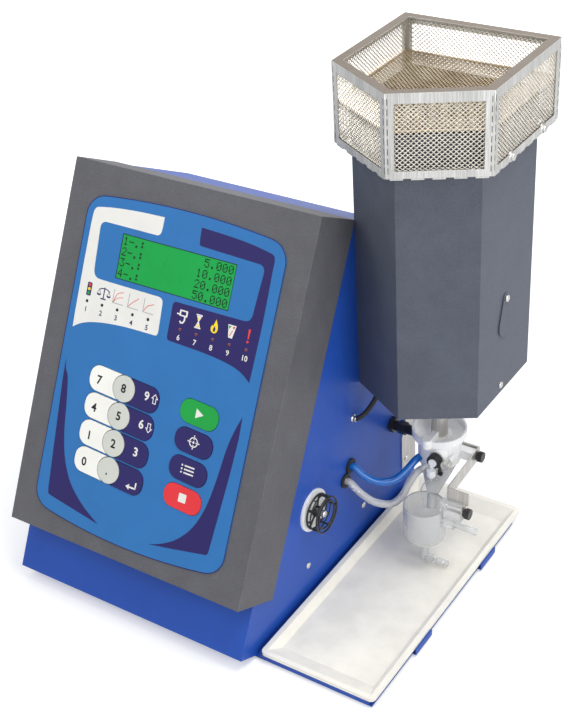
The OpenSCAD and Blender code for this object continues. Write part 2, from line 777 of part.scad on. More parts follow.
module drip_tray() {
    color(cream) difference() {
        union() {
            translate([tray_left + tray_w / 2, tray_front + tray_len / 2, tray_z - lip_h])
                linear_extrude(lip_h) polygon(round_rect(tray_w, tray_len, tray_r));
            tray_pan(tray_t, tray_low, 0);
        }
        tray_pan(0, tray_low + tray_t, 1);
        // the rim is hollow below, round the pan
        difference() {
            translate([tray_left + tray_w / 2, tray_front + tray_len / 2, tray_z - lip_h - 1])
                linear_extrude(lip_h + 1 - tray_t)
                    polygon(round_rect(tray_w - 2 * tray_t, tray_len - 2 * tray_t, tray_r - 1));
            tray_pan(tray_t, tray_low, 0);
        }
    }
}
// The tray's basin: the overlap of a cross section and a lengthwise section
module tray_pan(grow, low, above) {
    x0 = tray_left + tray_rim - grow;
    x1 = tray_right - tray_rim + grow;
    y0 = tray_front + tray_rim - grow;
    y1 = tray_back - tray_rim + grow;
    intersection() {
        translate([0, y1 + 1, 0]) rotate([90, 0, 0]) linear_extrude(y1 - y0 + 2) polygon([
            [x0, tray_z + above], [x0, tray_z], [x0 + side_run, low], [x1 - side_run, low],
            [x1, tray_z], [x1, tray_z + above]
        ]);
        translate([x0 - 1, 0, 0]) rotate([90, 0, 90]) linear_extrude(x1 - x0 + 2) polygon([
            [y0, tray_z + above], [y0, tray_z], [y0 + end_run, low], [y1 - end_run, low],
            [y1, tray_z], [y1, tray_z + above]
        ]);
    }
}

// ---------------------------------------------------------------- burner

mount_z = 101;
module burner_mount() {
    reach = burner_x - chamber_r - side_x + 2;
    color(black) on_side(burner_y + 14, mount_z) {
        cylinder(r = 8, h = 5, $fn = 6);
        cylinder(r = 5, h = reach);
        translate([0, 0, 9]) cylinder(r = 6.6, h = 9, $fn = 6);
    }
}

air_port = [side_x + 49.2, 238.8, 100.2];
fuel_port = [side_x + 55.6, 231.7, 93.1];
module mixing_chamber() {
    color("#f4f5f7") difference() {
        union() {
            translate([burner_x, burner_y, 0]) rotate_extrude() polygon([
                [0, chamber_low], [chamber_r - 1.5, chamber_low], [chamber_r, chamber_low + 2],
                [chamber_r, dish_low - 3], [dish_r - 1, dish_low], [dish_r, dish_low + 1.5],
                [dish_r, dish_high], [dish_r - 2, dish_high], [dish_r - 3, dish_high - 4],
                [12, dish_high - 7], [0, dish_high - 7]
            ]);
            // ear at the front of the dish, and the arm's block
            translate([burner_x, burner_y - dish_r + 1, dish_low + 1.5])
                cylinder(r = 5, h = dish_high - dish_low + 0.5);
            translate([burner_x - 3, burner_y - dish_r + 4, dish_low + 2])
                cube([6, dish_r - 10, dish_high - dish_low - 2.5]);
            translate([burner_x + chamber_r - 6, upper_screw_y - 5.4, upper_screw_z - 5])
                cube([arm_out - chamber_r + 6 - seat, 8.6, 10]);
            // nebuliser boss and hose nipples
            translate([neb_x, burner_y - 12, neb_z]) rotate([90, 0, 0])
                cylinder(r = 8, h = burner_y - 12 - neb_face);
            rod(air_port + [2.6, 6.6, 1.6], air_port - [0.8, 2, 0.5], hose_bore - 0.2);
            rod(fuel_port + [5.9, 6.9, 5.9], fuel_port - [0.9, 1, 1], hose_bore - 0.4);
        }
        // seats of the nebuliser and of the upper thumbscrew
        translate([neb_x, burner_y, neb_z]) rotate([90, 0, 0])
            cylinder(r = barrel_r + run_fit, h = 40);
        translate([neb_x + adjuster_out, burner_y - 8, neb_z]) rotate([90, 0, 0])
            cylinder(r = stub_r + run_fit, h = 20);
        translate([arm_x - 10, upper_screw_y, upper_screw_z]) rotate([0, 90, 0])
            cylinder(r = shank_r + run_fit, h = 12);
        // bore for the burner's stem
        translate([burner_x, burner_y, chamber_low + 10]) cylinder(r = stem_r + run_fit, h = 40);
    }
}

module burner_head() {
    color("#c9c6bd") translate([burner_x, burner_y, 0]) difference() {
        union() {
            translate([0, 0, chamber_low + 10]) cylinder(r = stem_r, h = burner_high - chamber_low - 14);
            translate([0, 0, burner_high - 22]) cylinder(r1 = stem_r, r2 = head_r, h = 10);
            translate([0, 0, burner_high - 12.2]) cylinder(r = head_r, h = 12.2);
        }
        translate([0, 0, chamber_low + 9]) cylinder(r = stem_r - 2, h = burner_high - chamber_low - 14);
        for (i = [0 : 11])
            rotate(30 * i) translate([head_r - 4, 0, burner_high - 6]) cylinder(r = 0.9, h = 8);
        translate([0, 0, burner_high - 8]) cylinder(r = 1.2, h = 10);
    }
}

drain_bend = [cup_x + 4, cup_y + 9, chamber_low - 8];
drain_end = [cup_x + 5, cup_y + 5.5, drain_low];
module drain_funnel(t) {
    hull() {
        translate([burner_x, burner_y, chamber_low - 0.5]) cylinder(r = chamber_r - 2 - t, h = 0.5);
        translate(drain_bend - [0, 0, 0.5]) cylinder(r = drain_r - t, h = 0.5);
    }
    rod(drain_bend + [0, 0, t], drain_end - [0, 0, t], drain_r - t);
}
module drain_sump() {
    color(milky) difference() {
        drain_funnel(0);
        translate([0, 0, -0.01]) drain_funnel(1.2);
    }
}

// ---------------------------------------------------------------- nebuliser

adjuster_out = 12.6;
stub_r = 2;
module nebuliser() {
    color("#d9dadc") {
        // barrel through the nut and the boss, with the sample nozzle at its front
        translate([neb_x, burner_y - 10, neb_z]) rotate([90, 0, 0])
            cylinder(r = barrel_r, h = burner_y - 10 - neb_face + nut_len + 2);
        translate([neb_x, neb_face - nut_len - 2 * seat, neb_z]) rotate([90, 0, 0])
            cylinder(r = barrel_r + 0.8, h = 1.5);
        translate([neb_x - 2.2, neb_face - nut_len - 2 * seat - 1.5, neb_z - 9])
            cube([3, 1.5, 9]);
        translate([neb_x - 0.8, neb_face - nut_len - 2.2, neb_z - 17.5]) difference() {
            union() {
                cylinder(r1 = 2, r2 = 4.3, h = 3.6);
                translate([0, 0, 3.6]) cylinder(r = 4.3, h = 6.7);
            }
            translate([0, 0, -1]) cylinder(r = capillary_r + seat, h = 6);
        }
        // stub that carries the adjuster
        translate([neb_x + adjuster_out, burner_y - 9, neb_z]) rotate([90, 0, 0])
            cylinder(r = stub_r, h = 17.6);
    }
}

module nebuliser_nut() {
    color(black) translate([neb_x, neb_face - seat, neb_z]) rotate([90, 0, 0]) difference() {
        union() {
            fluted(nut_r, nut_len, 16, 0.5);
            // locking lever with its thumb rest
            translate([3.4, -lever_len, 1]) cube([3, lever_len - 2, 2.4]);
            translate([3.4, -lever_len, 1]) cube([4.4, 2.6, 3.2]);
        }
        translate([0, 0, -1]) cylinder(r = barrel_r + run_fit, h = nut_len + 2);
    }
}

module nebuliser_adjuster() {
    color(steel) translate([neb_x + adjuster_out, neb_face - 0.2, neb_z]) rotate([90, 0, 0])
        difference() {
            union() {
                cylinder(r = 3.8, h = 3);
                translate([0, 0, 2.6]) fluted(4.8, 5, 12, 0.6);
            }
            translate([0, 0, -1]) cylinder(r = stub_r + run_fit, h = 14);
        }
}

// ---------------------------------------------------------------- swept tubes

// Smooth route through hand-picked points
function spline(p, t) = let (n = len(p) - 1, k = min(floor(t), n - 1), u = t - k,
        a = p[max(k - 1, 0)], b = p[k], c = p[k + 1], d = p[min(k + 2, n)])
    (2 * b + (c - a) * u + (2 * a - 5 * b + 4 * c - d) * u * u
        + (3 * b - a - 3 * c + d) * u * u * u) / 2;
function unit(v) = v / norm(v);
function route(p, per) = [for (i = [0 : per * (len(p) - 1)]) spline(p, i / per)];
function heading(q, i) = unit(q[min(i + 1, len(q) - 1)] - q[max(i - 1, 0)]);
// Side direction carried along the route without twist
function carry(q, i, s) = i >= len(q) ? [] :
    let (h = heading(q, i), v = unit(s - (s * h) * h)) concat([v], carry(q, i + 1, v));
function ring(c, h, s, r, n) = let (w = cross(h, s))
    [for (j = [0 : n - 1]) c + r * (cos(360 * j / n) * s + sin(360 * j / n) * w)];

// Tube along a route: an outer skin and, where bore is above 0, an inner one
module sweep(p, per, r, bore, n, start) {
    q = route(p, per);
    m = len(q);
    s = carry(q, 0, start);
    outer = [for (i = [0 : m - 1]) each ring(q[i], heading(q, i), s[i], r, n)];
    inner = bore > 0 ? [for (i = [0 : m - 1]) each ring(q[i], heading(q, i), s[i], bore, n)] : [];
    o = m * n;
    skin = [for (i = [0 : m - 2], j = [0 : n - 1]) let (k = (j + 1) % n) each [
        [i * n + j, (i + 1) * n + k, i * n + k], [i * n + j, (i + 1) * n + j, (i + 1) * n + k]]];
    lining = bore > 0 ? [for (i = [0 : m - 2], j = [0 : n - 1]) let (k = (j + 1) % n) each [
        [o + i * n + k, o + (i + 1) * n + k, o + i * n + j],
        [o + i * n + j, o + (i + 1) * n + k, o + (i + 1) * n + j]]] : [];
    ends = bore > 0
        ? [for (j = [0 : n - 1]) let (k = (j + 1) % n, e = (m - 1) * n) each [
            [j, k, o + j], [k, o + k, o + j],
            [e + j, o + e + j, e + k], [e + k, o + e + j, o + e + k]]]
        : [for (j = [1 : n - 2]) let (e = (m - 1) * n) each [
            [0, j, j + 1], [e, e + j + 1, e + j]]];
    polyhedron(concat(outer, inner), concat(skin, lining, ends));
}

// Points given from the cabinet's side
function beside(list) = [for (q = list) [side_x + q[0], q[1], q[2]]];
capillary_r = 0.8;
air_route = concat(beside([
    [-2.5, 192, 103], [2, 192, 103], [6.2, 192.2, 102.2], [13, 194.6, 94.5], [24.5, 201, 87],
    [36, 210.5, 86], [43, 222.5, 92], [46.8, 232.5, 98.2]
]), [air_port]);
fuel_route = concat(beside([
    [-2.5, 182, 92], [2, 182, 92], [6.4, 182.2, 91], [15, 184.4, 81.5], [26.5, 191, 70],
    [38.5, 203, 64], [44.5, 213.5, 69.5], [47, 221.5, 80], [51, 228, 88.6]
]), [fuel_port]);
lead_route = beside([
    [-2.5, 200, 153], [2, 200, 153], [5.6, 201, 154.2], [10, 205, 158], [13.5, 210, 164],
    [15.8, 216, 171], [17.5, 224, 182], [18.5, 230, 195]
]);
capillary_route = [for (q = [
    [-0.8, 226.2, 93.4], [-0.8, 226.2, 89.8], [-2.5, 224.4, 87.7], [-5.1, 221.2, 86],
    [-6.6, 218.4, 82.2], [-6.4, 216.2, 78.4], [-4, 213.9, 73.8], [-1.7, 212, 69.6], [0.3, 210.4, 65.4]
]) [neb_x + q[0], q[1], q[2]]];

module air_hose() { color("#1d86cf") sweep(air_route, 4, hose_r, hose_bore, 12, [0, 1, 0]); }
module fuel_hose() { color(milky) sweep(fuel_route, 4, hose_r, hose_bore, 12, [0, 1, 0]); }
module ignition_lead() {
    color(black) sweep(lead_route, 4, lead_r, 0, 10, [0, 1, 0]);
    color(steel) on_side(lead_port[0], lead_port[1]) cylinder(r = 4, h = 3);
}
module capillary() { color("#9aa0aa") sweep(capillary_route, 4, capillary_r, 0, 8, [1, 0, 0]); }

module grommets() {
    color(black) for (p = hose_ports) on_side(p[0], p[1]) difference() {
        union() {
            translate([0, 0, -sheet - 2]) cylinder(r = 7.4, h = 2);
            translate([0, 0, -sheet - 0.5]) cylinder(r = grommet_neck, h = sheet + 1);
            cylinder(r = 7.4, h = 2);
        }
        translate([0, 0, -8]) cylinder(r = hose_r + 0.4, h = 14);
    }
}

// ---------------------------------------------------------------- arm and cup

module support_plate() {
    color(steel) translate([side_x, 0, 0]) rotate([90, 0, 90]) difference() {
        linear_extrude(sheet) polygon([
            [cabinet_back - 27.1, 31], [cabinet_back, 31], [cabinet_back, 92],
            [cabinet_back - 19.6, 92], [cabinet_back - 19.6, 80], [cabinet_back - 27.1, 72]
        ]);
        translate([plate_screw[0], plate_screw[1], -1]) cylinder(r = 1.7, h = 5);
    }
}

module cup_arm() {
    color(steel) difference() {
        union() {
            translate([arm_x, 0, 0]) rotate([90, 0, 90]) linear_extrude(arm_t) polygon([
                [arm_front, arm_z], [arm_back, arm_z + arm_rise],
                [arm_back, arm_z + arm_rise + arm_h], [arm_front, arm_z + arm_h]
            ]);
            translate([arm_x + arm_t - arm_tail, arm_back - arm_t, arm_z + arm_rise])
                cube([arm_tail, arm_t, arm_h]);
            translate([arm_x, arm_front, arm_z]) cube([arm_reach, arm_t, arm_h]);
            // ear for the lower screw
            translate([ear_x, lower_screw_y - 4.5, lower_screw_z - 4.5])
                cube([arm_t, 9, arm_z - lower_screw_z + 5.5]);
        }
        translate([arm_x - 1, upper_screw_y, upper_screw_z]) rotate([0, 90, 0])
            cylinder(r = shank_r + run_fit, h = 4);
        translate([ear_x - 1, lower_screw_y, lower_screw_z]) rotate([0, 90, 0])
            cylinder(r = shank_r + run_fit, h = 4);
    }
}

module thumbscrew(shank) {
    color(black) {
        translate([0, 0, seat]) fluted(thumb_r - 1.2, 1.6, 12, 0.3);
        translate([0, 0, seat + 1.4]) fluted(thumb_r, thumb_len - 1.4, 20, 0.45);
    }
    color(steel) translate([0, 0, -shank]) cylinder(r = shank_r, h = shank + seat + 1);
}
module upper_thumbscrew() {
    translate([arm_x + arm_t, upper_screw_y, upper_screw_z]) rotate([0, 90, 0])
        thumbscrew(arm_t + 8);
}
module lower_thumbscrew() {
    translate([ear_x + arm_t, lower_screw_y, lower_screw_z]) rotate([0, 90, 0])
        thumbscrew(arm_t + 15);
}

module drain_cup() {
    wall_low = cup_rim - cup_wall;
    color(milky) difference() {
        union() {
            translate([cup_x, cup_y, 0]) rotate_extrude() polygon([
                [0, wall_low - 7], [11, wall_low - 7], [15.4, wall_low - 5.8],
                [18.6, wall_low - 3], [cup_r, wall_low + 1], [cup_r, cup_rim], [0, cup_rim]
            ]);
            translate([cup_x, cup_y, elbow_z]) cylinder(r = 4.2, h = wall_low - 6 - elbow_z);
            translate([cup_x, cup_y, wall_low - 11]) cylinder(r1 = 4.2, r2 = 6.5, h = 5);
            translate([cup_x, cup_y, elbow_z]) sphere(r = 4.25);
            translate([cup_x, cup_y, elbow_z]) rotate([0, 90, 0]) {
                cylinder(r = spout_r + 0.7, h = 9);
                cylinder(r = spout_r, h = 9 + spout_len);
            }
            // overflow spout with its collar
            translate([cup_x + cup_r - 2, cup_y, spout_z]) rotate([0, 90, 0]) {
                cylinder(r = 5, h = 14);
                cylinder(r = spout_r, h = 14 + overflow_len);
            }
            // clamp block for the lower screw
            translate([cup_x + 15, lower_screw_y - 4, cup_rim - 4.5])
                cube([ear_x - cup_x - 15 - seat, 8, arm_z - 1.2 - cup_rim + 4.5]);
        }
        translate([cup_x, cup_y, 0]) rotate_extrude() polygon([
            [0, wall_low - 5], [10, wall_low - 5], [14.4, wall_low - 4],
            [17.2, wall_low - 1.4], [cup_r - cup_t, wall_low + 1.6], [cup_r - cup_t, cup_rim + 20],
            [0, cup_rim + 20]
        ]);
        translate([ear_x - 17, lower_screw_y, lower_screw_z]) rotate([0, 90, 0])
            cylinder(r = shank_r + run_fit, h = 18);
        // bores of the spouts
        translate([cup_x, cup_y, elbow_z - 1]) cylinder(r = spout_bore + 0.2, h = 30);
        translate([cup_x, cup_y, elbow_z]) rotate([0, 90, 0])
            cylinder(r = spout_bore, h = spout_len + 10);
        translate([cup_x + cup_r - 4, cup_y, spout_z]) rotate([0, 90, 0])
            cylinder(r = spout_bore, h = 17 + overflow_len);
    }
}

// ---------------------------------------------------------------- valve

plate_t = 2;
module valve_plate() {
    color("#f3f3f3") on_side(valve_y, valve_z) difference() {
        cylinder(r = plate_r, h = plate_t);
        translate([0, 0, -1]) cylinder(r = spindle_r + run_fit, h = plate_t + 2);
    }
}

module valve_wheel() {
    back = plate_t + 1.2;
    color(black) on_side(valve_y, valve_z) translate([0, 0, back]) {
        // rear ring, hub and spokes
        ring_part(wheel_r - 1, wheel_r - 4, 0, 3.4);
        cylinder(r = 5.5, h = 4.5);
        for (i = [0 : spokes - 1]) rotate(360 * i / spokes) {
            translate([4, -1.2, 0.6]) cube([wheel_r - 6, 2.4, 2.4]);
            // bars that carry the front rings
            translate([wheel_r - 5.6, -1.4, 0.3]) cube([4.4, 2.8, wheel_len - 0.6]);
            translate([wheel_r - 1.6, 0, 0.4]) cylinder(r = 2, h = 2.6);
        }
        ring_part(wheel_r, wheel_r - 1.4, wheel_len - 2.4, 2.4);
        ring_part(wheel_r - 3.2, wheel_r - 5.8, wheel_len - 3, 3);
        for (i = [0 : spokes - 1]) rotate(360 * i / spokes)
            translate([wheel_r - 4, -1.1, wheel_len - 2.1]) cube([3.4, 2.2, 1.6]);
    }
    color(steel) on_side(valve_y, valve_z) {
        translate([0, 0, -sheet - 10]) cylinder(r = spindle_r, h = sheet + 10 + back + 2);
        translate([0, 0, back + 3]) cylinder(r = 3.4, h = 7.8);
    }
}
module ring_part(outer, inner, z, h) {
    translate([0, 0, z]) difference() {
        cylinder(r = outer, h = h);
        translate([0, 0, -1]) cylinder(r = inner, h = h + 2);
    }
}

// ---------------------------------------------------------------- inside

module fuel_line() {
    color("#b98f4a") {
        // needle valve body behind the side
        on_side(valve_y, valve_z) translate([0, 0, -sheet - 34]) difference() {
            union() {
                cylinder(r = 9, h = 30, $fn = 6);
                translate([0, 0, 4]) rotate([-90, 0, 0]) cylinder(r = 3, h = 20);
            }
            translate([0, 0, 18]) cylinder(r = spindle_r + run_fit, h = 20);
        }
        // rear inlet with a hose barb
        on_back(gas_x, gas_z) {
            translate([0, 0, -14]) cylinder(r = 6, h = 14);
            cylinder(r = 8.5, h = 5, $fn = 6);
            for (i = [0 : 3]) translate([0, 0, 5 + (barb_len - 5) / 4 * i])
                cylinder(r1 = 4.4, r2 = 3.4, h = (barb_len - 5) / 4);
        }
        // pipe from the inlet to the valve
        translate([gas_x, valve_y, gas_z]) rotate([-90, 0, 0])
            cylinder(r = 2.5, h = cabinet_back - 12 - valve_y);
        translate([gas_x, valve_y, gas_z]) cylinder(r = 2.5, h = valve_z - gas_z);
        translate([gas_x, valve_y, gas_z]) sphere(r = 2.5);
        translate([gas_x, valve_y, valve_z]) sphere(r = 2.5);
        translate([gas_x, valve_y, valve_z]) rotate([0, 90, 0])
            cylinder(r = 2.5, h = side_x - sheet - 33 - gas_x);
    }
}

module optical_head() {
    depth = 70;
    color("#2b2c30") on_side(burner_y, optic_z) translate([0, 0, -sheet - depth]) {
        difference() {
            translate([-28, -28, 0]) cube([56, 56, depth - 12]);
            translate([0, 0, depth - 40]) cylinder(r = 15, h = 40);
        }
        difference() {
            translate([0, 0, depth - 12.5]) cylinder(d = optic_d + 8, h = 12.2);
            translate([0, 0, depth - 14]) cylinder(d = optic_d - 4, h = 20);
        }
    }
    // collecting lens
    color("#cfe0ea") on_side(burner_y, optic_z) translate([0, 0, -sheet - 16])
        cylinder(r = 15, h = 5);
    // detector and filter tubes
    color("#8b8d92") for (i = [-1, 1], j = [-1, 1])
        on_side(burner_y + 15 * i, optic_z + 15 * j) translate([0, 0, -sheet - depth - 18])
            cylinder(r = 8, h = 18.5);
}

module air_pump() {
    color("#6e7176") translate([69.5 - side_x, cabinet_back - 111.6, floor_z + floor_t]) {
        for (x = [-32, 32], y = [-22, 22]) translate([x, y, 0]) cylinder(r = 6, h = 12);
        translate([-45, -32, 12]) cube([90, 64, 14]);
        translate([-40, 0, 46]) rotate([0, 90, 0]) cylinder(r = 24, h = 80);
        for (x = [-22, 22]) translate([x, 0, 60]) cylinder(r = 12, h = 26);
        translate([-30, -6, 84]) cube([60, 12, 8]);
    }
}

module power_supply() {
    color("#a9abad") translate([side_x - 109.5, cabinet_back - 106.6, floor_z + floor_t]) difference() {
        cube([70, 85, 38]);
        for (i = [0 : 7]) translate([-1, 10 + 9 * i, 30]) cube([72, 4, 20]);
        translate([1.2, 1.2, 1.2]) cube([67.6, 82.6, 26]);
    }
}

module main_board() {
    color("#2c6b41") translate([-side_x + sheet + 12, 120, 70]) {
        cube([1.6, 150, 110]);
        for (z = [12, 98], y = [12, 138])
            translate([-12, y, z]) rotate([0, 90, 0]) cylinder(r = 3.5, h = 12, $fn = 6);
    }
    color("#2a2a2c") translate([-side_x + sheet + 13.6, 120, 70]) {
        for (i = [0 : 2]) translate([0, 20 + 42 * i, 60]) cube([3, 30, 30]);
        translate([0, 20, 20]) cube([14, 60, 8]);
    }
}

module mains_inlet() {
    color(black) on_back(inlet_x, inlet_z) difference() {
        union() {
            linear_extrude(3) polygon(round_rect(2 * inlet_screw + 10, inlet_h + 8, 6, 6));
            translate([-inlet_w / 2 + 0.3, -inlet_h / 2 + 0.3, -20])
                cube([inlet_w - 0.6, inlet_h - 0.6, 20.5]);
        }
        // socket
        translate([0, -9.5, -15]) linear_extrude(20) polygon([
            [-12, -8], [12, -8], [12, 3.5], [7.5, 8], [-7.5, 8], [-12, 3.5]
        ]);
        // well of the rocker
        translate([-rocker_w / 2, rocker_up - rocker_h / 2, -9]) cube([rocker_w, rocker_h, 20]);
        translate([-rocker_w / 2 - 1.2, rocker_up, rocker_pin_z]) rotate([0, 90, 0])
            cylinder(r = rocker_pin_r + run_fit, h = rocker_w + 2.4);
        for (x = [-inlet_screw, inlet_screw]) translate([x, 0, -1]) cylinder(r = 1.7, h = 6);
    }
    color(steel) for (p = [[-7, -11], [0, -6], [7, -11]])
        on_back(inlet_x, inlet_z) translate([p[0] - 1, p[1] - 2, -16]) cube([2, 4, 12]);
}

rocker_tilt = 9;
rocker_pin_r = 1.3;
rocker_pin_z = -1;
module power_switch() {
    color(black) on_back(inlet_x, inlet_z) translate([0, rocker_up, rocker_pin_z]) {
        rotate([-rocker_tilt, 0, 0]) translate([-rocker_w / 2 + 0.5, 0, 0]) rotate([90, 0, 90])
            linear_extrude(rocker_w - 1) polygon([
                [-5.6, -2], [-5.6, 5.2], [0, 3.8], [5.6, 5.2], [5.6, -2], [0, -3.6]
            ]);
        translate([-rocker_w / 2 - 0.9, 0, 0]) rotate([0, 90, 0])
            cylinder(r = rocker_pin_r, h = rocker_w + 1.8);
    }
}

// ---------------------------------------------------------------- assembly

place() base_plate();
place() feet();
place() casing();
place() rear_panel();
place() fixing_screws();
place() bezel();
place() overlay();
place() display_window();
place() display_module();
place() status_leds();
place() front_board();
place() key("left", 3, cream);  // key_7
place() key("round", 3, "#d3d1c8");  // key_8
place() key("right", 3, navy);  // key_9
place() key("left", 2, cream);  // key_4
place() key("round", 2, "#d3d1c8");  // key_5
place() key("right", 2, navy);  // key_6
place() key("left", 1, cream);  // key_1
place() key("round", 1, "#d3d1c8");  // key_2
place() key("right", 1, navy);  // key_3
place() key("left", 0, cream);  // key_0
place() key("round", 0, "#d3d1c8");  // key_point
place() key("right", 0, navy);  // key_enter
place() key("function", 3, "#0aa13c");  // key_green
place() key("function", 2, navy);  // key_mode_a
place() key("function", 1, navy);  // key_mode_b
place() key("function", 0, "#e2313a");  // key_red
place() chimney();
place() view_shutter();
place() guard_frame();
place() mesh_walls();
place() mesh_floor();
place() tray_carrier();
place() drip_tray();
place() burner_mount();
place() mixing_chamber();
place() burner_head();
place() drain_sump();
place() nebuliser();
place() nebuliser_nut();
place() nebuliser_adjuster();
place() capillary();
place() support_plate();
place() cup_arm();
place() upper_thumbscrew();
place() lower_thumbscrew();
place() drain_cup();
place() air_hose();
place() fuel_hose();
place() ignition_lead();
place() grommets();
place() valve_plate();
place() valve_wheel();
place() fuel_line();
place() optical_head();
place() air_pump();
place() power_supply();
place() main_board();
place() mains_inlet();
place() power_switch();
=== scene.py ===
"""Studio scene of a bench flame photometer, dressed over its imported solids.

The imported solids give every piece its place. This script gives each one its finish, stands
finer pieces in for the guard's mesh and the hoses, prints the panel and lights the bench.
"""

from __future__ import annotations

import logging
import math
from collections.abc import Callable, Iterable, Sequence
from dataclasses import dataclass, field
from enum import Enum

import bmesh
import bpy
from mathutils import Matrix, Vector
from mathutils.geometry import tessellate_polygon

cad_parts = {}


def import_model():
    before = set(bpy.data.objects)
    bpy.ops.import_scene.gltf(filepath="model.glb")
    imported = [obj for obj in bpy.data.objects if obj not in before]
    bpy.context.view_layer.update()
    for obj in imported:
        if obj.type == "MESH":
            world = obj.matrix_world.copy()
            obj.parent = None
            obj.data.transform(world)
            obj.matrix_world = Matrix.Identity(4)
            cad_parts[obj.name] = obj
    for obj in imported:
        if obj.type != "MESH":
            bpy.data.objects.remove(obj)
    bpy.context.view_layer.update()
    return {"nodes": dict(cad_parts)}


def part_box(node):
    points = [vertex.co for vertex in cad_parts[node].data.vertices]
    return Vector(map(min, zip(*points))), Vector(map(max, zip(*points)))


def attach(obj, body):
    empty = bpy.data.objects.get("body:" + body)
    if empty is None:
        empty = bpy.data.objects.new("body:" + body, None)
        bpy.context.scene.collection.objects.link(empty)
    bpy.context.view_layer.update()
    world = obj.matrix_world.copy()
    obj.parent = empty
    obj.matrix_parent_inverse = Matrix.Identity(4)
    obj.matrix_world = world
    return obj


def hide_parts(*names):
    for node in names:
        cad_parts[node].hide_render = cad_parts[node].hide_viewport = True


LOG = logging.getLogger("photometer")
Flat = tuple[float, float]
Triple = tuple[float, float, float]
TILT = math.radians(28.0)


# ---------------------------------------------------------------- places


@dataclass
class Datum:
    """Turns the panel's millimetres into the frame's metres."""

    x: float = 66.6
    y: float = 169.367
    hood_z: float = 74.7

    def read(self) -> None:
        """Take the panel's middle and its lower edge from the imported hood."""
        low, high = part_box("bezel")
        self.x = -500.0 * (low.x + high.x)
        self.y = -1000.0 * low.y

    def at(self, x: float, y: float, z: float) -> Vector:
        """Place a point of the cabinet.

        Args:
            x: Distance to the right of the panel's middle, in millimetres.
            y: Distance behind the hood's lower front edge, in millimetres.
            z: Height above the bench, in millimetres.

        Returns:
            The same point in the model's frame, in metres.
        """
        return Vector(((x - self.x) / 1000.0, (y - self.y) / 1000.0, z / 1000.0))

    def panel(self, x: float, up: float, out: float = 0.0) -> Vector:
        """Place a point of the sloping panel.

        Args:
            x: Distance to the right of the panel's middle, in millimetres.
            up: Distance up the slope from the hood's lower edge, in millimetres.
            out: Distance in front of the hood's face, in millimetres.

        Returns:
            The same point in the model's frame, in metres.
        """
        return self.at(
            x,
            up * math.sin(TILT) - out * math.cos(TILT),
            self.hood_z + up * math.cos(TILT) + out * math.sin(TILT),
        )


DATUM = Datum()


# ---------------------------------------------------------------- finishes


class Grain(Enum):
    """What a surface shows close up."""

    POWDER = "fine powder coat"
    STRUCTURE = "speckled structure coat"
    BRUSHED = "brushed sheet"
    TURNED = "turned metal"
    MOULDED = "moulded plastic"
    FILM = "printed film with a faint leather grain"
    RUBBER = "dull rubber"
    CLOUDY = "milky plastic"
    GLOSSY = "smooth gloss"
    HEATED = "heat-tinted metal"
    BOARD = "circuit board"


@dataclass(frozen=True)
class Weft:
    """How a grain is drawn: sizes of its noises, and how strongly each one shows."""

    fine: float
    coarse: float
    stretch: Triple
    relief: float
    mottle: float
    # how strongly edges are lightened, partly as worn paint and partly as a painted highlight
    wear_and_highlight: float
    shine: float = 0.5


WEFTS: dict[Grain, Weft] = {
    Grain.POWDER: Weft(1900.0, 24.0, (1, 1, 1), 0.16, 0.05, 0.35, 0.25),
    Grain.STRUCTURE: Weft(1500.0, 40.0, (1, 1, 1), 0.34, 0.07, 0.55, 0.25),
    Grain.BRUSHED: Weft(1500.0, 60.0, (1, 1, 0.03), 0.22, 0.10, 0.25),
    Grain.TURNED: Weft(900.0, 90.0, (1, 1, 1), 0.12, 0.08, 0.20),
    Grain.MOULDED: Weft(1300.0, 40.0, (1, 1, 1), 0.10, 0.05, 0.10),
    Grain.FILM: Weft(1100.0, 30.0, (1, 1, 1), 0.13, 0.035, 0.0, 0.25),
    Grain.RUBBER: Weft(1600.0, 70.0, (1, 1, 1), 0.25, 0.12, 0.10),
    Grain.CLOUDY: Weft(500.0, 55.0, (1, 1, 1), 0.05, 0.04, 0.0),
    Grain.GLOSSY: Weft(400.0, 18.0, (1, 1, 1), 0.03, 0.03, 0.0),
    Grain.HEATED: Weft(1400.0, 34.0, (1, 1, 1), 0.25, 0.22, 0.15),
    Grain.BOARD: Weft(900.0, 260.0, (1, 1, 1), 0.12, 0.20, 0.0),
}


def linear(value: float) -> float:
    """Turn one display colour value from 0 to 1 into scene light."""
    return value / 12.92 if value <= 0.04045 else ((value + 0.055) / 1.055) ** 2.4


def opaque(colour: Triple) -> tuple[float, float, float, float]:
    """Turn a display colour into scene light that nothing shows through."""
    red, green, blue = (linear(c) for c in colour)
    return (red, green, blue, 1.0)


class Graph:
    """A tree of shader nodes, added and joined in short calls."""

    def __init__(self, tree: bpy.types.NodeTree) -> None:
        """Take the tree.

        Args:
            tree: Where the nodes go.
        """
        self.tree = tree

    def put(self, node: bpy.types.Node, inputs: dict[str | int, object]) -> None:
        """Set a node's inputs, or join them to outputs of other nodes.

        Args:
            node: The node.
            inputs: Each input's value, or the output that feeds it.
        """
        for key, value in inputs.items():
            if isinstance(value, bpy.types.NodeSocket):
                self.tree.links.new(value, node.inputs[key])
            else:
                node.inputs[key].default_value = value

    def add(
        self, kind: str, inputs: dict[str | int, object], out: str, **options: object
    ) -> bpy.types.NodeSocket:
        """Add a node.

        Args:
            kind: Its type, without the prefix that all of them share.
            inputs: Its inputs, as for put.
            out: The output that is wanted.
            options: Its settings, which are made before its inputs.

        Returns:
            That output.
        """
        node = self.tree.nodes.new(f"ShaderNode{kind}")
        for name, value in options.items():
            setattr(node, name, value)
        self.put(node, inputs)
        return node.outputs[out]


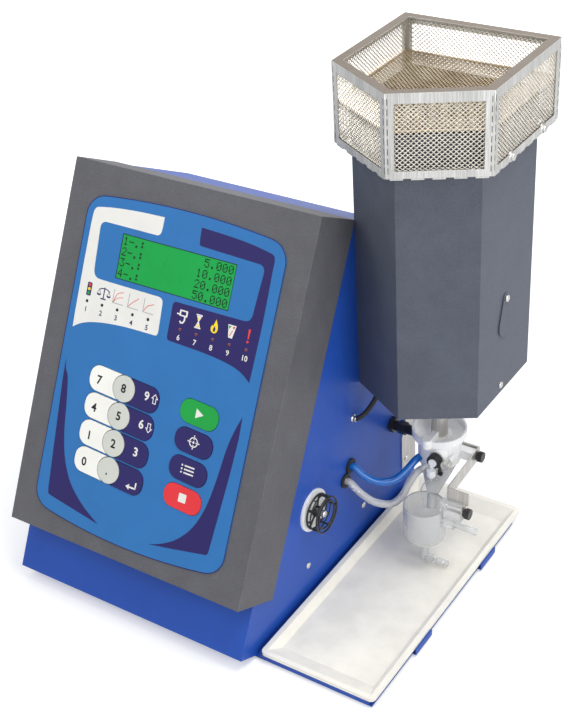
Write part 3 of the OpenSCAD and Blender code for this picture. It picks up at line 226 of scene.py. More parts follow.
@dataclass(frozen=True)
class Finish:
    """One finish: colour as it is seen, gloss, and the grain of its surface."""

    name: str
    colour: Triple
    grain: Grain
    rough: float = 0.5
    slot: str = ""
    metal: float = 0.0
    coat: float = 0.0
    clear: float = 0.0
    glow: float = 0.0
    edge: float = 0.4
    tint: Triple | None = None
    upper: Triple | None = None

    def shade(self, gain: float) -> tuple[float, float, float, float]:
        """Give the colour as light, made lighter or darker.

        Args:
            gain: Factor on the colour.

        Returns:
            Red, green, blue and alpha.
        """
        red, green, blue = (min(1.0, linear(c) * gain) for c in self.colour)
        return (red, green, blue, 1.0)

    def material(self) -> bpy.types.Material:
        """Make the node material, once for all the pieces that share it.

        Returns:
            The material, with noise in its colour, gloss and relief, and rounded edges lightened, partly as worn
            paint and partly as a painted highlight.
        """
        title = f"{self.name}_finish"
        known = bpy.data.materials.get(title)
        if known:
            return known
        weft = WEFTS[self.grain]
        made = bpy.data.materials.new(title)
        made.use_nodes = True
        graph = Graph(made.node_tree)
        where = graph.add("TexCoord", {}, "Object")
        place = graph.add("Mapping", {"Scale": weft.stretch, "Vector": where}, "Vector")
        fine = graph.add("TexNoise", {"Scale": weft.fine, "Detail": 3.0, "Vector": place}, "Fac")
        coarse = graph.add(
            "TexNoise", {"Scale": weft.coarse, "Detail": 5.0, "Roughness": 0.6, "Vector": place}, "Fac")

        other = opaque(self.tint) if self.tint else self.shade(1.0 + weft.mottle)
        spread = graph.add("MapRange", {"From Min": 0.35, "From Max": 0.65, "Value": coarse}, "Result")
        colour = graph.add(
            "Mix", {"A": self.shade(1.0 - weft.mottle), "B": other, "Factor": spread}, "Result", data_type="RGBA")
        if self.grain in (Grain.STRUCTURE, Grain.BRUSHED, Grain.BOARD, Grain.HEATED):
            colour = self._speckle(graph, fine, colour)
        normal = graph.add("Bevel", {"Radius": self.edge / 1000.0}, "Normal", samples=4)
        # edges lightened partly as worn paint, partly as a painted highlight where light catches them
        if weft.wear_and_highlight > 0:
            colour = self._wear_and_highlight_edges(graph, normal, coarse, colour, weft.wear_and_highlight)
        if self.upper:
            colour = self._scorch(graph, colour, self.upper)

        gloss = {"To Min": max(0.02, self.rough - 0.08), "To Max": min(1.0, self.rough + 0.10), "Value": coarse}
        relief = {"Strength": weft.relief, "Distance": 0.0003, "Height": fine, "Normal": normal}
        shader = graph.tree.nodes["Principled BSDF"]
        graph.put(shader, {
            "Metallic": self.metal,
            "Coat Weight": self.coat,
            "Coat Roughness": 0.12,
            "Specular IOR Level": weft.shine,
            "Transmission Weight": self.clear,
            "Base Color": colour,
            "Roughness": graph.add("MapRange", gloss, "Result"),
            "Normal": graph.add("Bump", relief, "Normal"),
        })
        # Emission: the display's backlight, and a painted glow on the white plastic.
        if self.glow > 0:
            graph.put(shader, {"Emission Strength": self.glow, "Emission Color": colour})
        return made

    def _speckle(
        self, graph: Graph, fine: bpy.types.NodeSocket, colour: bpy.types.NodeSocket
    ) -> bpy.types.NodeSocket:
        """Scatter light and dark specks over the colour.

        Args:
            graph: The nodes of the material being made.
            fine: Its fine noise.
            colour: The colour so far.

        Returns:
            The speckled colour.
        """
        specks = graph.add(
            "MapRange", {"From Min": 0.38, "From Max": 0.64, "To Min": 0.86, "To Max": 1.16, "Value": fine}, "Result")
        return graph.add(
            "Mix", {"Factor": 1.0, "A": colour, "B": specks}, "Result", data_type="RGBA", blend_type="MULTIPLY")

    def _scorch(self, graph: Graph, colour: bpy.types.NodeSocket, upper: Triple) -> bpy.types.NodeSocket:
        """Give faces that look up the colour that hot gas leaves on them.

        Args:
            graph: The nodes of the material being made.
            colour: The colour so far.
            upper: Colour of the faces that look up.

        Returns:
            The colour with its darker upper faces.
        """
        facing = graph.add("NewGeometry", {}, "True Normal")
        height = graph.add("SeparateXYZ", {"Vector": facing}, "Z")
        upward = graph.add("MapRange", {"From Min": 0.6, "From Max": 0.9, "Value": height}, "Result")
        return graph.add(
            "Mix", {"A": colour, "B": opaque(upper), "Factor": upward}, "Result", data_type="RGBA")

    def _wear_and_highlight_edges(
        self, graph: Graph, normal: bpy.types.NodeSocket, coarse: bpy.types.NodeSocket,
        colour: bpy.types.NodeSocket, amount: float
    ) -> bpy.types.NodeSocket:
        """Lighten the edges, more in some places than in others: partly as worn paint, partly as a painted highlight
        along the rounded edges.

        Args:
            graph: The nodes of the material being made.
            normal: Its normal over rounded edges.
            coarse: Its coarse noise.
            colour: The colour so far.
            amount: How strongly the lightened edges show, from 0 to 1.

        Returns:
            The colour with its edges lightened, worn and with a painted highlight.
        """
        flat = graph.add("NewGeometry", {}, "True Normal")
        turn = graph.add("VectorMath", {0: normal, 1: flat}, "Value", operation="DOT_PRODUCT")
        rim = graph.add("MapRange", {"From Min": 0.995, "From Max": 0.86, "To Max": amount, "Value": turn}, "Result")
        uneven = graph.add("Math", {0: rim, 1: coarse}, "Value", operation="MULTIPLY")
        # pale edge colour: worn paint together with a painted highlight
        red, green, blue = (c * 0.55 + 0.42 for c in self.colour)
        return graph.add(
            "Mix", {"A": colour, "B": opaque((red, green, blue)), "Factor": uneven}, "Result", data_type="RGBA")


@dataclass(frozen=True)
class Finishes:
    """Every finish on the instrument."""

    blue: Finish = Finish("blue_paint", (0.13, 0.31, 0.68), Grain.POWDER, 0.42, coat=0.12, edge=0.7)
    hood: Finish = Finish("hood_paint", (0.36, 0.36, 0.38), Grain.STRUCTURE, 0.52, coat=0.10, edge=1.0)
    slate: Finish = Finish("slate_paint", (0.34, 0.36, 0.41), Grain.STRUCTURE, 0.50, coat=0.10, edge=0.9)
    steel: Finish = Finish("stainless", (0.80, 0.79, 0.77), Grain.BRUSHED, 0.34, metal=0.85, edge=0.5)
    flange: Finish = Finish(
        "flanged_steel", (0.84, 0.84, 0.83), Grain.BRUSHED, 0.46, slot="stainless", metal=0.80, edge=0.6,
        upper=(0.50, 0.46, 0.42),
    )
    mesh: Finish = Finish("mesh_wire", (0.92, 0.90, 0.86), Grain.TURNED, 0.30, metal=0.70, edge=0.1, slot="stainless")
    heated: Finish = Finish(
        "heated_mesh", (0.80, 0.70, 0.55), Grain.HEATED, 0.40, metal=0.75, edge=0.1, tint=(0.88, 0.82, 0.72),
    )
    zinc: Finish = Finish("zinc", (0.86, 0.86, 0.84), Grain.TURNED, 0.22, metal=0.95, edge=0.3)
    sky: Finish = Finish("sky_overlay", (0.16, 0.435, 0.69), Grain.FILM, 0.42, coat=0.15, edge=0.3)
    navy: Finish = Finish(
        "navy_print", (0.125, 0.09, 0.36), Grain.FILM, 0.42, coat=0.15, edge=0.05, slot="sky_overlay",
    )
    white: Finish = Finish(
        "white_print", (0.90, 0.895, 0.875), Grain.FILM, 0.45, coat=0.12, edge=0.05, slot="sky_overlay",
    )
    ink: Finish = Finish("ink", (0.10, 0.10, 0.12), Grain.FILM, 0.5, edge=0.02, slot="sky_overlay")
    grey_line: Finish = Finish("grey_print", (0.62, 0.63, 0.65), Grain.FILM, 0.45, edge=0.02, slot="sky_overlay")
    screen: Finish = Finish("window_green", (0.01, 0.61, 0.26), Grain.FILM, 0.28, coat=0.1, glow=0.04, edge=0.1)
    dots: Finish = Finish("display_dots", (0.0, 0.09, 0.045), Grain.FILM, 0.45, edge=0.01, slot="window_green")
    cream: Finish = Finish("cream_plastic", (0.955, 0.94, 0.895), Grain.MOULDED, 0.34, coat=0.2, edge=0.9)
    key_cream: Finish = Finish("key_cream", (0.955, 0.95, 0.925), Grain.FILM, 0.42, coat=0.15, edge=0.5)
    key_grey: Finish = Finish("key_grey", (0.80, 0.81, 0.78), Grain.FILM, 0.42, coat=0.15, edge=0.5)
    key_navy: Finish = Finish("key_navy", (0.13, 0.10, 0.365), Grain.FILM, 0.40, coat=0.18, edge=0.5)
    key_green: Finish = Finish("key_green_print", (0.05, 0.61, 0.24), Grain.FILM, 0.40, coat=0.18, edge=0.5)
    key_red: Finish = Finish("key_red_print", (0.88, 0.20, 0.23), Grain.FILM, 0.40, coat=0.18, edge=0.5)
    milky: Finish = Finish("milky_plastic", (0.985, 0.99, 0.99), Grain.CLOUDY, 0.24, clear=0.72, edge=0.5)
    # The small glow of the white plastic is painted light: it lifts the chamber, valve plate and nebuliser brighter
    # than the lamps make them.
    chamber: Finish = Finish(
        "white_plastic", (0.99, 0.992, 0.995), Grain.CLOUDY, 0.26, clear=0.04, coat=0.2, glow=0.05, edge=0.7,
    )
    clear: Finish = Finish("clear_plastic", (0.95, 0.96, 0.97), Grain.CLOUDY, 0.12, clear=0.75, edge=0.3)
    rubber: Finish = Finish("black_rubber", (0.12, 0.12, 0.125), Grain.RUBBER, 0.62, edge=0.4)
    black: Finish = Finish("black_plastic", (0.10, 0.10, 0.105), Grain.MOULDED, 0.36, coat=0.1, edge=0.3)
    tube: Finish = Finish("blue_tube", (0.04, 0.47, 0.86), Grain.GLOSSY, 0.14, clear=0.18, coat=0.3, edge=0.2)
    board: Finish = Finish("circuit_board", (0.16, 0.40, 0.24), Grain.BOARD, 0.38, coat=0.2, edge=0.1)
    lens: Finish = Finish("lamp_red", (0.42, 0.16, 0.13), Grain.GLOSSY, 0.18, coat=0.4, edge=0.2)
    brass: Finish = Finish("brass", (0.83, 0.68, 0.38), Grain.TURNED, 0.28, metal=0.95, edge=0.3)
    pump: Finish = Finish("pump_grey", (0.45, 0.46, 0.48), Grain.STRUCTURE, 0.45, edge=0.8)
    galvanised: Finish = Finish("galvanised", (0.74, 0.75, 0.76), Grain.BRUSHED, 0.42, metal=0.8, edge=0.5)
    optics: Finish = Finish("optics_black", (0.11, 0.11, 0.12), Grain.POWDER, 0.5, edge=0.4)
    red: Finish = Finish("red_ring", (0.85, 0.22, 0.16), Grain.MOULDED, 0.4, edge=0.2, slot="lamp_red")
    yellow: Finish = Finish("yellow_print", (0.97, 0.85, 0.18), Grain.FILM, 0.4, edge=0.02, slot="sky_overlay")


PAINTS = Finishes()

NODE_FINISH: dict[str, Finish] = {
    **dict.fromkeys(("base_plate", "casing", "rear_panel", "tray_carrier"), PAINTS.blue),
    **dict.fromkeys(("chimney", "view_shutter"), PAINTS.slate),
    **dict.fromkeys(("support_plate", "cup_arm", "burner_head"), PAINTS.steel),
    "guard_frame": PAINTS.flange,
    **dict.fromkeys(("fixing_screws", "nebuliser_adjuster"), PAINTS.zinc),
    **dict.fromkeys(("display_module", "front_board", "main_board"), PAINTS.board),
    **dict.fromkeys(("key_7", "key_4", "key_1", "key_0"), PAINTS.key_cream),
    **dict.fromkeys(("key_8", "key_5", "key_2", "key_point"), PAINTS.key_grey),
    **dict.fromkeys(("key_9", "key_6", "key_3", "key_enter", "key_mode_a", "key_mode_b"), PAINTS.key_navy),
    **dict.fromkeys(("drain_sump", "drain_cup"), PAINTS.milky),
    **dict.fromkeys(("feet", "grommets"), PAINTS.rubber),
    **dict.fromkeys(
        ("burner_mount", "nebuliser_nut", "upper_thumbscrew", "lower_thumbscrew", "valve_wheel",
         "mains_inlet", "power_switch"), PAINTS.black),
    "bezel": PAINTS.hood,
    "overlay": PAINTS.sky,
    "display_window": PAINTS.screen,
    "status_leds": PAINTS.lens,
    "key_green": PAINTS.key_green,
    "key_red": PAINTS.key_red,
    "drip_tray": PAINTS.cream,
    "mixing_chamber": PAINTS.chamber,
    "valve_plate": PAINTS.chamber,
    "nebuliser": PAINTS.chamber,
    "fuel_line": PAINTS.brass,
    "air_pump": PAINTS.pump,
    "power_supply": PAINTS.galvanised,
    "optical_head": PAINTS.optics,
}


def dress_nodes(nodes: dict[str, bpy.types.Object]) -> None:
    """Give every carried-over node its finish.

    Args:
        nodes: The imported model's objects by name.
    """
    for name, finish in NODE_FINISH.items():
        mesh = nodes[name].data
        if not mesh.materials:
            mesh.materials.append(finish.material())
        for slot in range(len(mesh.materials)):
            mesh.materials[slot] = finish.material()
        LOG.info("node %s: %s", name, finish.name)


# ---------------------------------------------------------------- mesh making


@dataclass
class Skin:
    """Points and faces gathered for one piece."""

    points: list[Vector] = field(default_factory=list)
    faces: list[tuple[int, ...]] = field(default_factory=list)

    def add(self, points: Iterable[Vector], faces: Iterable[Sequence[int]]) -> None:
        """Add a patch whose faces count from its own first point.

        Args:
            points: The patch's points.
            faces: Its faces, as places in those points.
        """
        first = len(self.points)
        self.points.extend(points)
        self.faces.extend(tuple(first + i for i in face) for face in faces)

    def strip(self, rings: Sequence[Sequence[Vector]], closed: bool = False, caps: bool = True) -> None:
        """Join rings of equal count into a tube.

        Args:
            rings: The rings in order.
            closed: Whether the last ring joins the first.
            caps: Whether the two ends are filled.
        """
        count, size = len(rings), len(rings[0])
        faces: list[tuple[int, ...]] = []
        for i in range(count if closed else count - 1):
            a, b = i * size, ((i + 1) % count) * size
            for j in range(size):
                k = (j + 1) % size
                faces.append((a + j, a + k, b + k, b + j))
        if caps and not closed:
            faces.append(tuple(reversed(range(size))))
            faces.append(tuple((count - 1) * size + j for j in range(size)))
        self.add([p for ring in rings for p in ring], faces)

    def build(
        self, name: str, body: str, finish: Finish, smooth: float | None = 35.0, bevel: float = 0.0
    ) -> bpy.types.Object:
        """Make the piece and let it ride.

        Args:
            name: The piece's name.
            body: The body that it moves with.
            finish: Its finish.
            smooth: Edges sharper than this many degrees stay sharp; None shades it flat.
            bevel: Width of a real bevel on its sharp edges, in millimetres.

        Returns:
            The new object.
        """
        mesh = bpy.data.meshes.new(name)
        mesh.from_pydata([tuple(p) for p in self.points], [], self.faces)
        work = bmesh.new()
        work.from_mesh(mesh)
        bmesh.ops.remove_doubles(work, verts=work.verts, dist=1e-7)
        bmesh.ops.recalc_face_normals(work, faces=work.faces)
        work.to_mesh(mesh)
        work.free()
        mesh.validate()
        if smooth is not None:
            mesh.shade_smooth()
            mesh.set_sharp_from_angle(angle=math.radians(smooth))
        mesh.materials.append(finish.material())
        piece = bpy.data.objects.new(name, mesh)
        bpy.context.scene.collection.objects.link(piece)
        if bevel > 0:
            rounding = piece.modifiers.new("rounding", "BEVEL")
            rounding.width = bevel / 1000.0
            rounding.segments = 2
            rounding.limit_method = "ANGLE"
        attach(piece, body)
        finish.slot or finish.name
        LOG.info("piece %s on %s: %d faces", name, body, len(mesh.polygons))
        return piece


def rounded(corners: Sequence[tuple[float, float, float]], steps: int = 6) -> list[Flat]:
    """Round the corners of an outline.

    Args:
        corners: Each corner's two coordinates and how far from it the rounding starts.
        steps: Number of pieces in each rounding.

    Returns:
        The outline's points.
    """
    out: list[Flat] = []
    count = len(corners)
    for i, (x, y, radius) in enumerate(corners):
        if radius <= 0:
            out.append((x, y))
            continue
        here = Vector((x, y))
        before = Vector(corners[i - 1][:2]) - here
        after = Vector(corners[(i + 1) % count][:2]) - here
        start = here + before.normalized() * min(radius, before.length / 2)
        end = here + after.normalized() * min(radius, after.length / 2)
        for k in range(steps + 1):
            t = k / steps
            p = start * (1 - t) ** 2 + here * 2 * t * (1 - t) + end * t**2
            out.append((p.x, p.y))
    return out


def spline(points: Sequence[Sequence[float]], per: int) -> list[Vector]:
    """Run a smooth curve through points.

    Args:
        points: The points, of two or three coordinates.
        per: Number of pieces between two of them.

    Returns:
        The curve's points, the given ones among them.
    """
    given = [Vector(p) for p in points]
    last = len(given) - 1
    out: list[Vector] = []
    for i in range(per * last + 1):
        k = min(i // per, last - 1)
        u = i / per - k
        a, b, c, d = given[max(k - 1, 0)], given[k], given[k + 1], given[min(k + 2, last)]
        out.append(
            (2 * b + (c - a) * u + (2 * a - 5 * b + 4 * c - d) * u * u + (3 * b - a - 3 * c + d) * u**3) / 2
        )
    return out


def disc(x: float, y: float, radius: float, steps: int = 32) -> list[Flat]:
    """Give a circle's outline."""
    return [
        (x + radius * math.cos(math.tau * i / steps), y + radius * math.sin(math.tau * i / steps))
        for i in range(steps)
    ]


def bar(a: Flat, b: Flat, width: float) -> list[Flat]:
    """Give the outline of a straight stroke."""
    start, end = Vector(a), Vector(b)
    along = (end - start).normalized()
    side = Vector((-along.y, along.x)) * width / 2
    return [tuple(p) for p in (start - side, end - side, end + side, start + side)]


def stroke(path: Sequence[Sequence[float]], width: float) -> list[Flat]:
    """Give the outline of a bent stroke of even width.

    Args:
        path: The points of its middle line.
        width: Its width.

    Returns:
        The outline.
    """
    line = [Vector(p) for p in path]
    left: list[Flat] = []
    right: list[Flat] = []
    for i, p in enumerate(line):
        along = (line[min(i + 1, len(line) - 1)] - line[max(i - 1, 0)]).normalized()
        side = Vector((-along.y, along.x)) * width / 2
        left.append(tuple(p + side))
        right.append(tuple(p - side))
    return left + right[::-1]


def print_flat(
    skin: Skin, loops: Sequence[Sequence[Flat]], spot: Callable[[float, float, float], Vector],
    low: float, high: float
) -> None:
    """Lay a thin printed shape on a flat face.

    Args:
        skin: Where the shape goes.
        loops: Its outline, and those of its holes.
        spot: Turns two coordinates on the face and a height over it into a place.
        low: Height of the shape's underside.
        high: Height of its top.
    """
    flats = [[Vector((x, y, 0.0)) for x, y in loop] for loop in loops]
    tops = [spot(p.x, p.y, high) for loop in flats for p in loop]
    everything = [p for loop in flats for p in loop]
    faces: list[tuple[int, ...]] = []
    for a, b, c in tessellate_polygon(flats):
        turn = (everything[b] - everything[a]).cross(everything[c] - everything[a]).z
        if abs(turn) > 1e-9:
            faces.append((a, b, c) if turn > 0 else (a, c, b))
    count = len(everything)
    lows = [spot(p.x, p.y, low) for p in everything]
    first = 0
    for loop in flats:
        area = sum(p.x * q.y - q.x * p.y for p, q in zip(loop, loop[1:] + loop[:1]))
        for i in range(len(loop)):
            j = (i + 1) % len(loop)
            a, b = first + i, first + j
            side = (a, count + a, count + b, b)
            faces.append(side if area > 0 else side[::-1])
        first += len(loop)
    faces.extend(tuple(count + i for i in reversed(face)) for face in list(faces) if max(face) < count)
    skin.add(tops + lows, faces)


def letters(text: str, size: float, weight: float = 0.0) -> list[list[list[Flat]]]:
    """Trace plain figures with the built-in face.

    Args:
        text: The figures.
        size: Their height, about, in millimetres.
        weight: How much their strokes are thickened.

    Returns:
        The triangles that fill them, each as a shape with one outline, about the text's middle.
    """
    curve = bpy.data.curves.new("figures", "FONT")
    curve.body = text
    curve.size = size * 1.38
    curve.offset = weight
    curve.align_x = "CENTER"
    curve.align_y = "CENTER"
    curve.resolution_u = 3
    holder = bpy.data.objects.new("figures", curve)
    bpy.context.scene.collection.objects.link(holder)
    bpy.context.view_layer.update()
    mesh = bpy.data.meshes.new_from_object(holder.evaluated_get(bpy.context.evaluated_depsgraph_get()))
    shapes = [[[tuple(mesh.vertices[i].co.xy) for i in face.vertices]] for face in mesh.polygons]
    bpy.data.meshes.remove(mesh)
    bpy.data.objects.remove(holder)
    bpy.data.curves.remove(curve)
    return shapes


# ---------------------------------------------------------------- studio


@dataclass
class Studio:
    """Camera, lamps, floor and backdrop."""

    eye: Triple = (685.10, -690.67, 908.98)
    right: Triple = (0.83420759, 0.54812254, -0.06049278)
    down: Triple = (0.26211621, -0.49063696, -0.8310057)
    focal_px: float = 1394.608
    middle_px: Flat = (276.467, 368.694)
    image_px: tuple[int, int] = (575, 723)
    ambient: float = 0.50
    mirrored: float = 0.8
    floor_half: float = 4.0
    floor_drop: float = 0.0002
    sensor: float = 36.0

    def aim(self) -> None:
        """Put the camera where the photograph was taken from."""
        data = bpy.data.cameras.new("camera")
        camera = bpy.data.objects.new("camera", data)
        bpy.context.scene.collection.objects.link(camera)
        across = Vector(self.right).normalized()
        downward = Vector(self.down)
        downward = (downward - across * downward.dot(across)).normalized()
        forward = across.cross(downward)
        turn = Matrix((across, -downward, -forward)).transposed()
        camera.matrix_world = Matrix.Translation(DATUM.at(*self.eye)) @ turn.to_4x4()
        data.sensor_fit = "VERTICAL"
        data.sensor_height = self.sensor
        wide, high = self.image_px
        data.lens = self.focal_px * self.sensor / high
        data.shift_x = (wide / 2 - self.middle_px[0]) / high
        data.shift_y = (self.middle_px[1] - high / 2) / high
        data.clip_end = 20.0
        bpy.context.scene.camera = camera

    def lamp(self, name: str, where: Triple, size: float, power: float) -> None:
        """Hang a soft square lamp that faces the instrument.

        Args:
            name: The lamp's name.
            where: Its place, in metres from the middle of the footprint.
            size: Its side, in metres.
            power: Its power, in watts.
        """
        data = bpy.data.lights.new(name, "AREA")
        data.shape = "SQUARE"
        data.size = size
        data.energy = power
        lamp = bpy.data.objects.new(name, data)
        bpy.context.scene.collection.objects.link(lamp)
        lamp.location = where
        aim = Vector((0.02, 0.0, 0.2)) - Vector(where)
        lamp.rotation_euler = aim.to_track_quat("-Z", "Y").to_euler()

    def lights(self) -> None:
        """Light the bench softly and evenly, a little more from the front left and above."""
        self.lamp("key", (-0.9, -1.25, 1.75), 1.3, 12.0)
        self.lamp("fill", (1.9, -0.7, 0.9), 1.2, 14.0)
        self.lamp("top", (0.6, 0.2, 2.1), 1.2, 26.0)
        self.lamp("behind", (-0.6, 1.9, 1.1), 1.0, 3.0)

    def surroundings(self) -> None:
        """Lay the pale floor, and make what lies behind it white."""
        world = bpy.data.worlds.new("studio")
        bpy.context.scene.world = world
        world.use_nodes = True
        graph = Graph(world.node_tree)
        soft = graph.tree.nodes["Background"]
        graph.put(soft, {"Color": (0.97, 0.985, 1.0, 1.0), "Strength": self.ambient})
        seen = graph.add("Background", {"Color": (1.0, 1.0, 1.0, 1.0)}, "Background")
        rays = graph.tree.nodes.new("ShaderNodeLightPath").outputs
        direct = graph.add(
            "Math", {0: rays["Is Camera Ray"], 1: rays["Is Transmission Ray"]}, "Value", operation="MAXIMUM")
        glossy = graph.add("Math", {0: rays["Is Glossy Ray"], 1: self.mirrored}, "Value", operation="MULTIPLY")
        factor = graph.add("Math", {0: direct, 1: glossy}, "Value", operation="MAXIMUM")
        mixed = graph.add("MixShader", {"Fac": factor, 1: soft.outputs["Background"], 2: seen}, "Shader")
        graph.put(graph.tree.nodes["World Output"], {"Surface": mixed})

        mesh = bpy.data.meshes.new("floor")
        half = self.floor_half
        corners = ((-half, -half), (half, -half), (half, half), (-half, half))
        mesh.from_pydata([(x, y, -self.floor_drop) for x, y in corners], [], [(0, 1, 2, 3)])
        floor = bpy.data.objects.new("floor", mesh)
        bpy.context.scene.collection.objects.link(floor)
        mesh.materials.append(self.floor_finish())

    def floor_finish(self) -> bpy.types.Material:
        """Make the floor: pale, white where nothing shades it, and dark under the instrument.

        Returns:
            The floor's material.
        """
        made = bpy.data.materials.new("pale_floor")
        made.use_nodes = True
        graph = Graph(made.node_tree)
        graph.tree.nodes.remove(graph.tree.nodes["Principled BSDF"])
        pale = graph.add("BsdfDiffuse", {"Color": (0.80, 0.80, 0.80, 1.0)}, "BSDF")
        place = graph.add("NewGeometry", {}, "Position")
        away = graph.add("VectorMath", {0: place}, "Value", operation="LENGTH")
        reach = graph.add(
            "MapRange", {"From Min": 0.35, "From Max": 1.7, "To Min": 0.36, "To Max": 1.0, "Value": away}, "Result",
            interpolation_type="SMOOTHSTEP")
        seen = graph.add("LightPath", {}, "Is Camera Ray")
        strength = graph.add("Math", {0: seen, 1: reach}, "Value", operation="MULTIPLY")
        lift = graph.add("Emission", {"Strength": strength}, "Emission")
        both = graph.add("AddShader", {0: pale, 1: lift}, "Shader")
        graph.put(graph.tree.nodes["Material Output"], {"Surface": both})
        return made


# ---------------------------------------------------------------- guard


@dataclass
class Guard:
    """Expanded-metal sheets of the chimney's guard, in the places of the coarse ones."""

    width: float = 120.0
    left: float = 129.5
    back: float = 316.6
    side: float = 214.3
    tip: float = 179.5
    out: float = 12.0
    low: float = 424.7
    high: float = 495.8
    margin_side: float = 7.0
    margin_low: float = 6.4
    margin_top: float = 8.7
    floor_z: float = 463.0
    cell_w: float = 4.35
    cell_h: float = 4.1
    strand: float = 0.95
    thick: float = 0.55
    rise: float = 0.45
    middle_y: float = 260.0
    tuck: float = 2.5
    lap: float = 3.6

    def facing(self, start: Vector, end: Vector) -> tuple[Vector, Vector]:
        """Give the direction along a wall, and the one straight out of it.

        Args:
            start: One corner of the wall, seen from above.
            end: Its other corner.

        Returns:
            Both directions.
        """
        along = (end - start).normalized()
        out = Vector((along.y, -along.x))
        middle = Vector((self.left + self.width / 2, self.middle_y))
        return along, -out if out.dot(start - middle) < 0 else out

    def plan(self, grow: float) -> list[Vector]:
        """Give the guard's outline seen from above.

        Args:
            grow: Distance outside the chimney's faces, in millimetres.

        Returns:
            Its five corners, in the order of its walls.
        """
        slope = math.atan((self.side - self.tip) / (self.width / 2))
        side = self.side - grow / math.cos(slope) + grow * math.tan(slope)
        tip = self.tip - grow / math.cos(slope)
        x0, x1, back = self.left - grow, self.left + self.width + grow, self.back + grow
        return [Vector(p) for p in ((x0, back), (x0, side), ((x0 + x1) / 2, tip), (x1, side), (x1, back))]

    def lattice(
        self, skin: Skin, wide: float, high: float, spot: Callable[[float, float, float], Vector],
        keep: Callable[[float, float], bool] | None = None
    ) -> None:
        """Weave one sheet of diamonds from zigzag strands that meet at their bonds.

        Args:
            skin: Where the sheet goes.
            wide: The sheet's breadth, in millimetres.
            high: Its height, in millimetres.
            spot: Turns a place on the sheet and a height over it into a point.
            keep: Says whether a place lies on the sheet, for one that isn't a rectangle.
        """
        across = max(2, round(wide / self.cell_w))
        rows = max(2, round(high / self.cell_h))
        step, lift = wide / across / 2, high / rows / 2
        for row in range(2 * rows + 1):
            line: list[tuple[float, float, float]] = []
            for i in range(2 * across + 1):
                up = (i + row) % 2 == 0
                y = row * lift + (0.5 if up else -0.5) * lift
                line.append((i * step, min(max(y, 0.0), high), self.rise if up else -self.rise))
            run: list[list[Vector]] = []
            for i, (x, y, bow) in enumerate(line):
                if keep and not keep(x, y):
                    if len(run) > 1:
                        skin.strip(run)
                    run = []
                    continue
                half, t = self.strand / 2, self.thick / 2
                tilt = 0.25 if bow > 0 else -0.25
                run.append([
                    spot(x, y - half, bow * 0.5 - t - tilt),
                    spot(x, y + half, bow * 0.5 - t + tilt),
                    spot(x, y + half, bow * 0.5 + t + tilt),
                    spot(x, y - half, bow * 0.5 + t - tilt),
                ])
            if len(run) > 1:
                skin.strip(run)

    def walls(self) -> None:
        """Hang the five sheets inside the frame's windows."""
        skin = Skin()
        corners = self.plan(self.out)
        for i, start in enumerate(corners):
            end = corners[(i + 1) % 5]
            along, outward = self.facing(start, end)
            first = start + along * (self.margin_side - self.tuck)
            wide = (end - start).length - 2 * (self.margin_side - self.tuck)
            high = self.high - self.low - self.margin_low - self.margin_top + self.lap

            def spot(x: float, y: float, out: float, first: Vector = first, along: Vector = along,
                     outward: Vector = outward) -> Vector:
                """Place a point of this wall's sheet."""
                p = first + along * x + outward * (out - 1.85)
                return DATUM.at(p.x, p.y, self.low + self.margin_low - 0.3 + y)

            self.lattice(skin, wide, high, spot)
        piece = skin.build("guard_wall_mesh", "cabinet", PAINTS.mesh, smooth=None)
        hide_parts("mesh_walls")

    def floor(self) -> None:
        """Lay the heat-tinted sheet across the guard, with its folded rim."""
        skin = Skin()
        outline = self.plan(self.out - 2.4)
        low_x, low_y = min(p.x for p in outline), min(p.y for p in outline)
        wide = max(p.x for p in outline) - low_x
        deep = max(p.y for p in outline) - low_y

        def keep(x: float, y: float) -> bool:
            """Tell whether a place lies inside the guard."""
            p = Vector((low_x + x, low_y + y))
            for i, a in enumerate(outline):
                b = outline[(i + 1) % 5]
                if (b - a).x * (p - a).y - (b - a).y * (p - a).x < 0.4 * (b - a).length:
                    return False
            return True

        def spot(x: float, y: float, out: float) -> Vector:
            """Place a point of the floor's sheet."""
            return DATUM.at(low_x + x, low_y + y, self.floor_z + 0.4 + out)

        def rim(grow: float, z: float) -> list[Vector]:
            """Place the rim's corners at one height."""
            return [DATUM.at(p.x, p.y, z) for p in self.plan(self.out - grow)]

        self.lattice(skin, wide, deep, spot, keep)
        skin.strip([rim(grow, self.floor_z + up) for grow, up in ((2.1, 0.0), (2.1, 0.9), (4.2, 0.9), (4.2, 0.0))],
                   closed=True)
        piece = skin.build("guard_floor_mesh", "cabinet", PAINTS.heated, smooth=None)
        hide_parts("mesh_floor")

    def seams(self) -> None:
        """Fold a bead down each corner, with black strips of painted shade beside it where the tabs pass through, and
        tabs under the walls.
        """
        beads, slot_shade, tabs = Skin(), Skin(), Skin()
        corners = self.plan(self.out)
        middle = Vector((self.left + self.width / 2, self.middle_y))

        def slab(skin: Skin, at: Vector, along: Vector, out: Vector, z: float, size: Triple) -> None:
            """Add one flat strip: its breadth along the wall, its height and its thickness outwards."""
            wide, high, thick = size
            rings = []
            for end, inset in ((0.0, 0.12), (0.12, 0.0), (high - 0.12, 0.0), (high, 0.12)):
                ring = []
                for a, o in ((-1, 0), (1, 0), (1, 1), (-1, 1)):
                    p = at + along * (a * (wide / 2 - inset)) + out * (o * (thick - inset) - 0.05)
                    ring.append(DATUM.at(p.x, p.y, z + end))
                rings.append(ring)
            skin.strip(rings)

